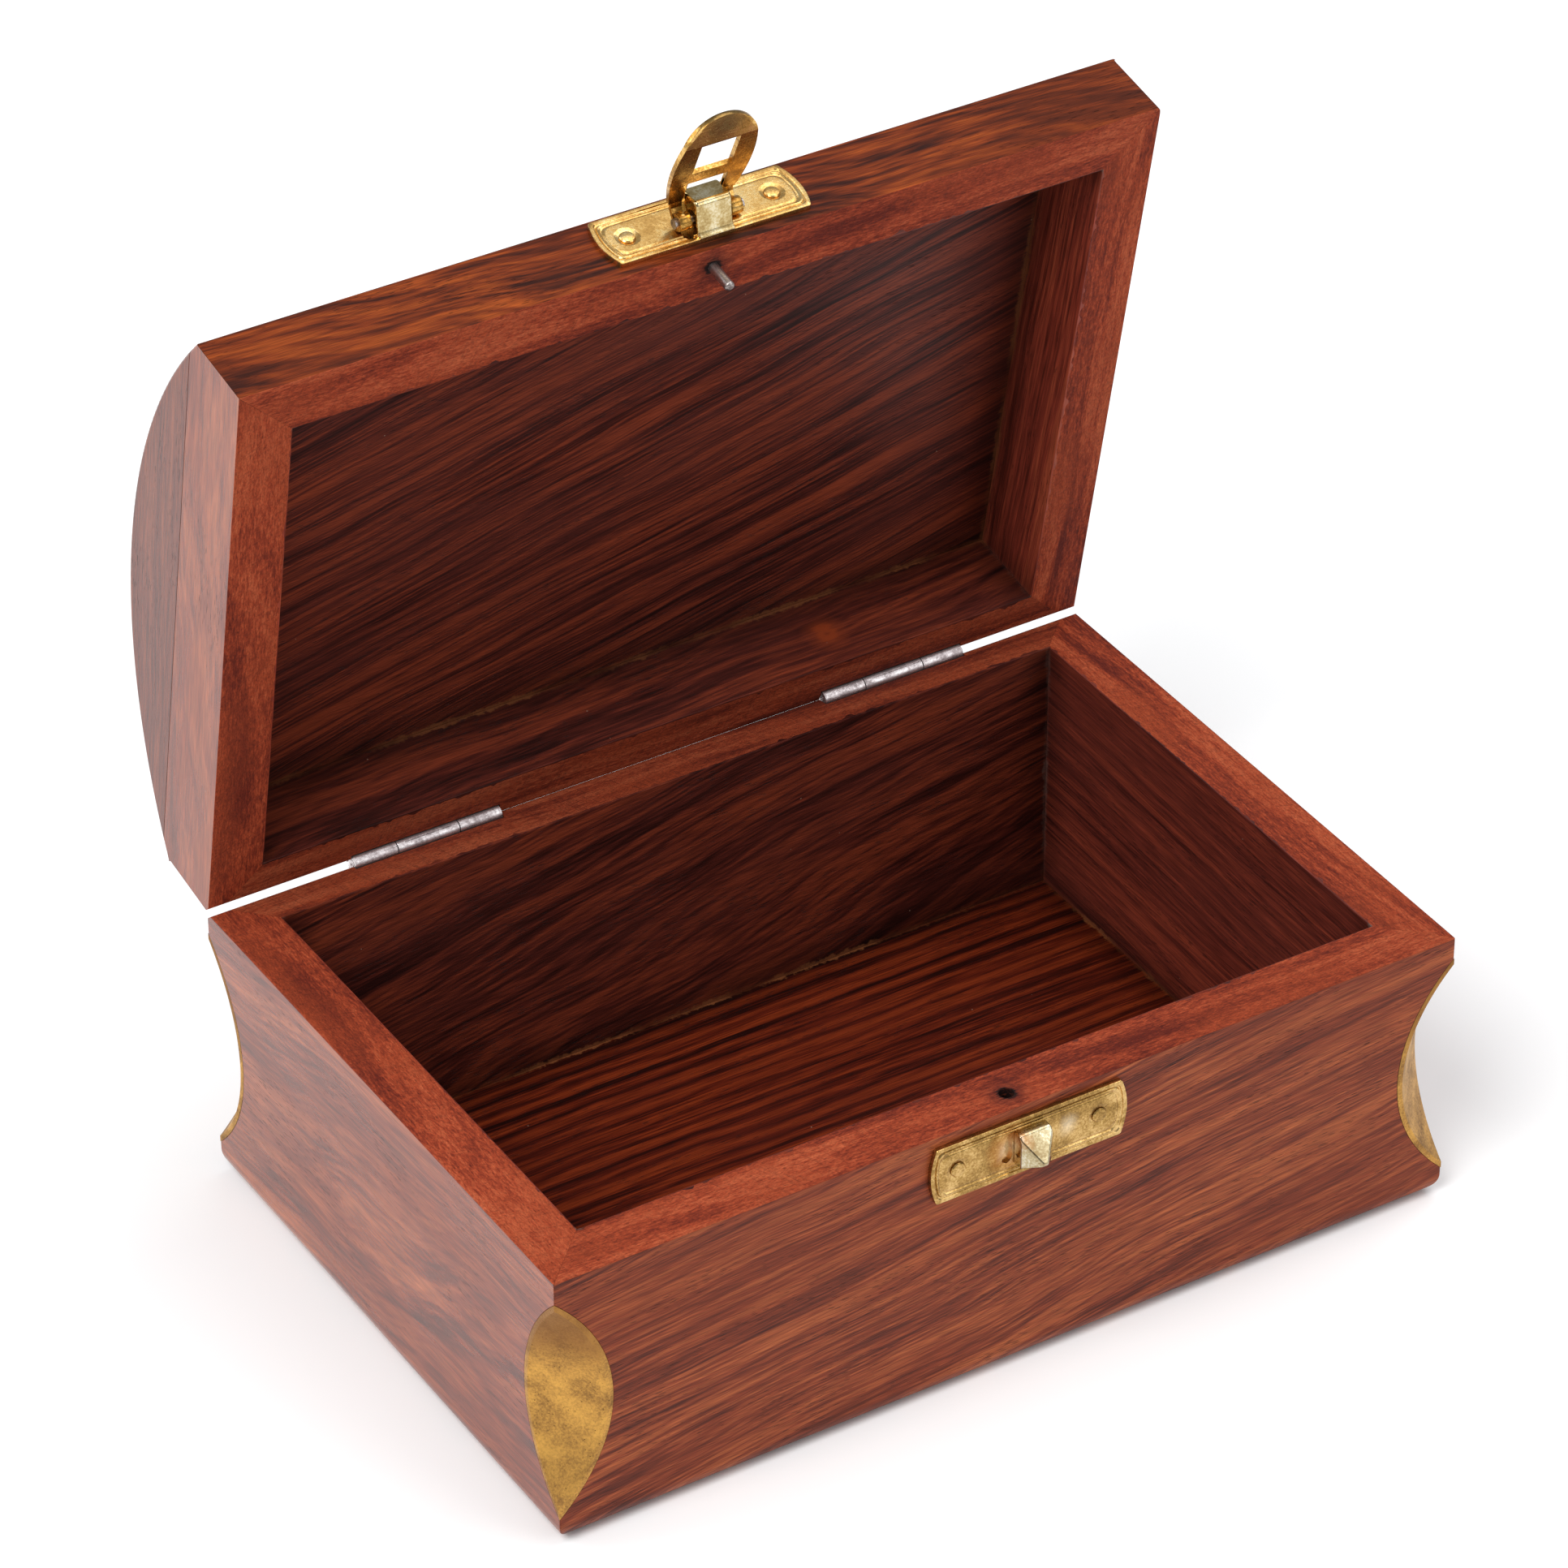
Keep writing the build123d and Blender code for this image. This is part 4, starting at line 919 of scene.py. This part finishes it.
def knuckle(up, low, high):
    """A rolled barrel: the sheet comes off the leaf, passes outside the pin and curls round it."""
    radius = KNUCKLE_RADIUS - BARREL_SHEET / 2
    curl = 300 if up < 0 else 290
    path = [(lid_axis.y + radius, lid_axis.z + up * (LEAF_SHOULDER + 0.4))]
    for step in range(0, 41):
        angle = -up * radians(curl) * step / 40
        path.append((lid_axis.y + radius * cos(angle), lid_axis.z + radius * sin(angle)))
    barrel = bent_strap(path, BARREL_SHEET - 0.04, low, high)
    ease_sharp(barrel, 0.09, 2)
    seam_angle = radians(BASE_SEAM_ANGLE if up < 0 else LID_SEAM_ANGLE)
    start = (high - low) * 0.12
    seam = block((low + start, KNUCKLE_RADIUS - 0.26, -0.07), (high - 0.02, KNUCKLE_RADIUS + 0.4, 0.07))
    spin = Matrix.Translation((0, lid_axis.y, lid_axis.z)) @ Matrix.Rotation(seam_angle, 4, "X")
    bmesh.ops.transform(seam, verts=seam.verts[:], matrix=spin)
    return cut(barrel, [seam])


def hinge_leaf(centre, up):
    half = hinge_length / 2
    near_z = lid_axis.z + up * LEAF_SHOULDER
    far_z = lid_axis.z + up * LEAF_REACH
    sheet = block((centre - half, half_depth + 0.02, min(near_z, far_z)),
                  (centre + half, half_depth + hinge_sheet, max(near_z, far_z)))
    ease(sheet, lambda e: both_ends(e, lambda v: near(v.z, far_z))
         and abs(e.verts[0].co.y - e.verts[1].co.y) > 0.5, 1.0, 5)
    ease_sharp(sheet, 0.12, 2)
    outer = (hinge_length - MIDDLE_KNUCKLE) / 2 - KNUCKLE_GAP
    if up > 0:
        spans = [(centre - MIDDLE_KNUCKLE / 2, centre + MIDDLE_KNUCKLE / 2)]
    else:
        spans = [(centre - half, centre - half + outer), (centre + half - outer, centre + half)]
    return join(sheet, *[knuckle(up, low, high) for low, high in spans])


def make_hinges():
    for side, centre in hinge_centres.items():
        for level, up, turn, body, paint in (
            ("lower", -1, Matrix.Identity(4), "base", hinge_metal),
            ("upper", 1, open_lid, "lid", lid_hinge_metal),
        ):
            finish_piece(hinge_leaf(centre, up), f"hinge_{side}_{level}_rolled", body,
                         f"hinge_{side}_{level}_leaf", [paint], turn)
            nail_z = lid_axis.z + up * (LEAF_SHOULDER + LEAF_REACH) / 2
            spots = [Vector((centre + shift * HINGE_NAIL_SPACING / 2, half_depth + hinge_sheet, nail_z))
                     for shift in (-1, 1)]
            finish_piece(join(*[nail(spot, 1) for spot in spots]), f"hinge_{side}_{level}_nail_pair", body,
                         f"hinge_{side}_{level}_nails", [paint], turn)
        frame["nodes"][f"hinge_{side}_pin"].data.materials[0] = hinge_metal


# ---------------------------------------------------------------- plates
PLATE_LENGTH = 31.4
PLATE_HEIGHT = 9.7
PLATE_BOW = 1.0
PLATE_NAIL_SPACING = 24.0
PLATE_NAIL_SINK = 0.3
DISH_RADIUS = 6.1
DISH_DEPTH = 0.38
SLOT_CUT = 2.56
HASP_PLATE_ABOVE_RIM = 6.7
HASP_SLOT_ABOVE_RIM = 4.9

# How far in from the edge, how deep below the face, and how round the corners are there
PLATE_STEPS = (
    (0.0, 0.78, 0.3), (0.0, 0.14, 0.3), (0.05, 0.04, 0.3), (0.14, 0.0, 0.3), (0.62, 0.02, 0.5),
    (0.74, 0.2, 0.6), (0.9, 0.24, 0.7), (1.02, 0.06, 0.8), (1.16, 0.02, 0.9), (1.3, 0.08, 1.0),
    (1.42, 0.2, 1.1), (1.56, 0.22, 1.2), (1.74, 0.08, 1.3), (2.0, 0.04, 1.4),
)
# The tear beside the pressed lug, from the lug's middle
TORN_SLOT = ((-4.7, -1.9), (-3.9, -2.4), (-3.3, -2.1), (-2.9, -1.2), (-3.0, 1.3), (-3.4, 1.9), (-4.0, 1.6),
             (-4.4, 0.9), (-4.1, 0.3), (-4.6, -0.6))


def plate_outline(inset, corner):
    """A rounded rectangle whose short ends bow outwards."""
    half_long, half_high = PLATE_LENGTH / 2 - inset, PLATE_HEIGHT / 2 - inset
    points = []
    for side_x, side_z, start in ((1, -1, -90), (1, 1, 0), (-1, 1, 90), (-1, -1, 180)):
        centre = (side_x * (half_long - corner), side_z * (half_high - corner))
        for step in range(7):
            angle = radians(start + 15 * step)
            points.append((centre[0] + corner * cos(angle), centre[1] + corner * sin(angle)))
        if side_x == 1 and side_z == -1 or side_x == -1 and side_z == 1:
            for step in range(1, 8):
                points.append((side_x * half_long, side_z * (half_high - corner) * (1 - step / 4)))
    bow = [PLATE_BOW * (1 - (2 * z / PLATE_HEIGHT) ** 2) for _, z in points]
    return [(x + (lean if x > 0 else -lean), z) for (x, z), lean in zip(points, bow)]


def pressed_plate(centre_z, slot_z):
    """A brass plate with bowed ends, a pressed double border, dished nail seats and a torn slot."""
    front = -half_depth - plate_sheet
    bm = bmesh.new()
    rings = []
    for inset, sunk, corner in PLATE_STEPS:
        corners = [bm.verts.new((hardware_x + x, front + sunk, centre_z + z))
                   for x, z in plate_outline(inset, corner)]
        rings.append([bm.edges.new(pair) for pair in zip(corners, corners[1:] + corners[:1])])
    for outer, inner in zip(rings, rings[1:]):
        bmesh.ops.bridge_loops(bm, edges=outer + inner)
    for end_ring in (rings[0], rings[-1]):
        bmesh.ops.contextual_create(bm, geom=end_ring)
    bmesh.ops.recalc_face_normals(bm, faces=bm.faces[:])
    cutters = []
    for shift in (-1, 1):
        seat_x = hardware_x + shift * PLATE_NAIL_SPACING / 2
        seat = Vector((seat_x, front - DISH_RADIUS + DISH_DEPTH, centre_z))
        dish = bmesh.new()
        bmesh.ops.create_uvsphere(dish, u_segments=64, v_segments=48, radius=DISH_RADIUS)
        bmesh.ops.translate(dish, verts=dish.verts[:], vec=seat)
        cutters.append(dish)
    opening = bmesh.new()
    thicken(opening, outline_face(opening, [(hardware_x + x, front - 2, slot_z + z) for x, z in TORN_SLOT]),
            (0, SLOT_CUT, 0))
    cutters.append(opening)
    return cut(bm, cutters)


def plate_nails(centre_z):
    """The two nails in a pressed plate."""
    spots = [Vector((hardware_x + shift * PLATE_NAIL_SPACING / 2, -half_depth - plate_sheet + PLATE_NAIL_SINK,
                     centre_z)) for shift in (-1, 1)]
    return join(*[nail(spot, -1) for spot in spots])


# ---------------------------------------------------------------- catch
STUD_HALF_WIDTH = 2.7
STUD_POINT_HALF = 0.35
STUD_SHOULDER = 2.6
STUD_REACH = 5.2


def make_catch():
    """The plate on the base and its arrow-head stud, whose heights are taken below the hasp's pin."""
    centre_z = (plate_low.z + plate_high.z) / 2
    plate = pressed_plate(centre_z, (stud_low.z + stud_high.z) / 2)
    finish_piece(plate, "catch_plate_pressed", "base", "catch_plate", [plate_brass])
    face = -half_depth
    root = face - plate_sheet
    drop = hasp_pin.z
    section = [
        (root + 0.05, drop - 8.5), (face - 2.2, drop - 8.7), (face - STUD_REACH, drop - 12.7),
        (face - 4.9, drop - 13.3), (face - 2.6, drop - 14.2), (root + 0.05, drop - 14.4)]
    left, right = hardware_x - STUD_HALF_WIDTH, hardware_x + STUD_HALF_WIDTH
    plan = [
        (left, root + 0.1), (left, face - STUD_SHOULDER), (hardware_x - STUD_POINT_HALF, face - STUD_REACH),
        (hardware_x + STUD_POINT_HALF, face - STUD_REACH), (right, face - STUD_SHOULDER), (right, root + 0.1)]
    stud = cut(bar_along_x(section, left, right), [upright_prism(plan, drop - 20, drop)], "INTERSECT")
    ease_sharp(stud, 0.28, 3, radians(20))
    finish_piece(stud, "catch_stud_folded", "base", "catch_stud", [stud_metal])
    finish_piece(plate_nails(centre_z), "catch_plate_nail_pair", "base", "catch_plate_nails",
                 [plate_brass])


# ---------------------------------------------------------------- hasp bridge
BRIDGE_WIDTH = 5.9
BRIDGE_SHEET = 0.8
BRIDGE_REACH = 6.0
BRIDGE_FOOT = 2.1
BRIDGE_SHOULDER = 3.7
BRIDGE_BROW = 7.9
BRIDGE_HEAD = 8.7
PIN_RADIUS = 0.75
PIN_PLAY = 0.05


def make_bridge():
    """The pressed housing that holds the hasp's pin: its heights are above the lid's rim."""
    face = -half_depth
    foot, top = plate_sheet - 0.05, BRIDGE_REACH
    foot_z, head_z = lid_rim + BRIDGE_FOOT, lid_rim + BRIDGE_HEAD
    shoulder_z, brow_z = lid_rim + BRIDGE_SHOULDER, lid_rim + BRIDGE_BROW
    outer = [(face - foot, foot_z), (face - top, shoulder_z), (face - top + 0.4, brow_z),
             (face - foot, head_z)]
    half = BRIDGE_WIDTH / 2
    shell = bar_along_x(outer, hardware_x - half, hardware_x + half)
    ease(shell, lambda e: both_ends(e, lambda v: v.y < face - 4)
         and abs(e.verts[0].co.x - e.verts[1].co.x) > 1, 0.7, 5)
    ease(shell, lambda e: e.is_manifold and e.calc_face_angle(0) > radians(50)
         and min(v.co.y for v in e.verts) < face - 2, 0.42, 4)
    sheet = BRIDGE_SHEET
    cavity = bar_along_x([
        (face + 1, foot_z + sheet), (face - foot, foot_z + sheet),
        (face - top + sheet, shoulder_z + sheet), (face - top + 0.4 + sheet, brow_z - sheet),
        (face - foot, head_z - sheet), (face + 1, head_z - sheet)],
        hardware_x - half + sheet, hardware_x + half - sheet)
    bore = rod(PIN_RADIUS + PIN_PLAY, (hardware_x - 9, hasp_pin.y, hasp_pin.z),
               (hardware_x + 9, hasp_pin.y, hasp_pin.z))
    shell = cut(shell, [cavity, bore])
    lip = bar_along_x([
        (face - foot, lid_rim + 2.15), (face - foot, lid_rim + 1.7), (face - foot - 0.35, lid_rim + 1.75),
        (face - foot - 0.9, lid_rim + 2.5)], hardware_x - half + 0.1, hardware_x + half - 0.1)
    ease_sharp(lip, 0.08, 2)
    finish_piece(join(shell, lip), "hasp_bridge_pressed", "lid", "hasp_bridge",
                 [bridge_metal], open_lid)


# ---------------------------------------------------------------- hasp
HASP_SHEET = 0.8
HASP_CRANK = 2.8
HASP_ROOT_HALF = 5.4
HASP_BELLY_HALF = 6.6
HASP_CREASE_HALF = 6.0
HASP_SLOT_HALF = 3.3
HASP_EYE_LENGTH = 1.9
EYE_RADIUS = 1.05
EYE_SHEET = 0.6
WINDOW_HALF = 3.2
LEG_START = 1.2
BELLY = 9.0
CROSSBAR = 5.4
WINDOW_START = 7.7
WINDOW_END = 14.1
TIP_LENGTH = 5.0
TIP_BEND = radians(12)
HASP_CLOSED_LEAN = radians(5)


def arc_through(start, middle, end, steps):
    """Points on the circle through three points, from the first to the last."""
    (ax, ay), (bx, by), (cx, cy) = start, middle, end
    d = 2 * (ax * (by - cy) + bx * (cy - ay) + cx * (ay - by))
    ux = ((ax**2 + ay**2) * (by - cy) + (bx**2 + by**2) * (cy - ay) + (cx**2 + cy**2) * (ay - by)) / d
    uy = ((ax**2 + ay**2) * (cx - bx) + (bx**2 + by**2) * (ax - cx) + (cx**2 + cy**2) * (bx - ax)) / d
    angles = [atan2(y - uy, x - ux) for x, y in (start, middle, end)]
    first, via, last = angles
    while via < first:
        via += tau
    while last < via:
        last += tau
    if last - first > tau:
        via, last = angles[1], angles[2]
        while via > first:
            via -= tau
        while last > via:
            last -= tau
    radius = sqrt((ax - ux) ** 2 + (ay - uy) ** 2)
    return [(ux + radius * cos(first + (last - first) * i / steps),
             uy + radius * sin(first + (last - first) * i / steps)) for i in range(steps + 1)]


def make_hasp():
    """The strap hangs flat from its pin while it is made, with its window and its bent tip."""
    side = arc_through((HASP_ROOT_HALF, -LEG_START), (HASP_BELLY_HALF, -BELLY),
                       (HASP_CREASE_HALF, -WINDOW_END), 18)
    tip = arc_through((HASP_CREASE_HALF, -WINDOW_END), (0, -WINDOW_END - TIP_LENGTH),
                      (-HASP_CREASE_HALF, -WINDOW_END), 28)
    outline = side + tip[1:-1] + [(-x, z) for x, z in reversed(side)]
    back = hasp_pin.y - HASP_CRANK + HASP_SHEET / 2
    strap = bmesh.new()
    thicken(strap, outline_face(strap, [(hardware_x + x, back, hasp_pin.z + z) for x, z in outline]),
            (0, -HASP_SHEET, 0))
    window = block((hardware_x - WINDOW_HALF, back - 3, hasp_pin.z - WINDOW_END),
                   (hardware_x + WINDOW_HALF, back + 2, hasp_pin.z - WINDOW_START))
    slot = block((hardware_x - HASP_SLOT_HALF, back - 3, hasp_pin.z - CROSSBAR),
                 (hardware_x + HASP_SLOT_HALF, back + 2, hasp_pin.z + 2))
    strap = cut(strap, [window, slot])
    crease = hasp_pin.z - WINDOW_END - 0.3
    bmesh.ops.bisect_plane(strap, geom=strap.verts[:] + strap.edges[:] + strap.faces[:], dist=0.001,
                           plane_co=(0, 0, crease), plane_no=(0, 0, 1))
    bmesh.ops.triangulate(strap, faces=[f for f in strap.faces if len(f.verts) > 4])
    tip_verts = [vert for vert in strap.verts if vert.co.z < crease - 0.01]
    bmesh.ops.rotate(strap, verts=tip_verts, cent=(0, back, crease),
                     matrix=Matrix.Rotation(-TIP_BEND, 3, "X"))
    ease_sharp(strap, 0.12, 2, radians(60))
    pieces = [strap]
    leg_y = back - HASP_SHEET / 2
    path = [(leg_y, hasp_pin.z - LEG_START - 2.2), (leg_y, hasp_pin.z - LEG_START - 0.9),
            (leg_y + 0.12, hasp_pin.z - LEG_START - 0.2), (leg_y + 0.5, hasp_pin.z - LEG_START + 0.75)]
    for step in range(0, 31):
        angle = radians(150) - radians(310) * step / 30
        path.append((hasp_pin.y + EYE_RADIUS * cos(angle), hasp_pin.z + EYE_RADIUS * sin(angle)))
    for low in (hardware_x - HASP_SLOT_HALF - HASP_EYE_LENGTH, hardware_x + HASP_SLOT_HALF):
        leg = bent_strap(path, EYE_SHEET, low, low + HASP_EYE_LENGTH)
        ease_sharp(leg, 0.1, 2)
        pieces.append(leg)
    swing = about_x(hasp_pin, HASP_CLOSED_LEAN - hasp_travel)
    finish_piece(join(*pieces), "hasp_strap", "hasp", "hasp", [hasp_metal], open_lid @ swing)
    frame["nodes"]["hasp_pin"].data.materials[0] = pin_metal


def make_hasp_plate():
    centre_z = lid_rim + HASP_PLATE_ABOVE_RIM
    plate = pressed_plate(centre_z, lid_rim + HASP_SLOT_ABOVE_RIM)
    finish_piece(plate, "hasp_plate_pressed", "lid", "hasp_plate", [lid_plate_brass], open_lid)
    finish_piece(plate_nails(centre_z), "hasp_plate_nail_pair", "lid", "hasp_plate_nails",
                 [lid_plate_brass], open_lid)


def finish_locating_pin():
    frame["nodes"]["locating_pin"].data.materials[0] = pin_metal


make_walls()
make_floor()
make_corner_leaves()
make_hinges()
make_catch()
make_bridge()
make_hasp()
make_hasp_plate()
finish_locating_pin()


# ---------------------------------------------------------------- studio
CAMERA_PLACE = Vector((-446.5, -714.2, 665.4))
CAMERA_TURN = radians(31.56)
CAMERA_DIP = radians(35.13)
CAMERA_ROLL = radians(-0.1)
CAMERA_LENS = 163.6


def make_floor_and_light():
    ground = bmesh.new()
    bmesh.ops.create_grid(ground, x_segments=1, y_segments=1, size=6.0)
    mesh = bpy.data.meshes.new("studio_floor")
    ground.to_mesh(mesh)
    ground.free()
    recipe = Recipe("studio_paper")
    mesh.materials.append(recipe.connect(base_color=(0.93, 0.93, 0.93, 1.0), roughness=0.8))
    floor = bpy.data.objects.new("studio_floor", mesh)
    bpy.context.scene.collection.objects.link(floor)
    aim = Vector((0, 0, 0.07))
    for name, place, size, power in (
        ("key", (-1.0, -0.4, 1.45), 1.1, 22.0),
        ("fill", (0.9, -1.3, 0.9), 1.2, 6.0),
        ("back", (-1.4, 1.1, 0.8), 1.4, 10.0),
        ("over", (0.75, 0.1, 1.85), 1.8, 17.0),
    ):
        lamp = bpy.data.lights.new(name, "AREA")
        lamp.shape = "DISK"
        lamp.size = size
        lamp.energy = power
        obj = bpy.data.objects.new(name, lamp)
        obj.location = place
        obj.rotation_euler = (aim - Vector(place)).to_track_quat("-Z", "Y").to_euler()
        bpy.context.scene.collection.objects.link(obj)
    world = bpy.data.worlds.new("studio")
    world.use_nodes = True
    world.node_tree.nodes["Background"].inputs["Color"].default_value = (0.95, 0.97, 1.0, 1.0)
    world.node_tree.nodes["Background"].inputs["Strength"].default_value = 0.4
    bpy.context.scene.world = world
    bpy.context.scene.view_settings.view_transform = "Standard"


def make_camera():
    data = bpy.data.cameras.new("camera")
    data.sensor_width = 36.0
    data.lens = CAMERA_LENS
    data.clip_start = 0.05
    data.clip_end = 20.0
    camera = bpy.data.objects.new("camera", data)
    ahead = Vector((sin(CAMERA_TURN) * cos(CAMERA_DIP), cos(CAMERA_TURN) * cos(CAMERA_DIP), -sin(CAMERA_DIP)))
    look = ahead.to_track_quat("-Z", "Y").to_matrix().to_4x4()
    roll = Matrix.Rotation(CAMERA_ROLL, 4, "Z")
    camera.matrix_world = Matrix.Translation(CAMERA_PLACE / TO_MM) @ look @ roll
    bpy.context.scene.collection.objects.link(camera)
    bpy.context.scene.camera = camera


make_floor_and_light()
make_camera()
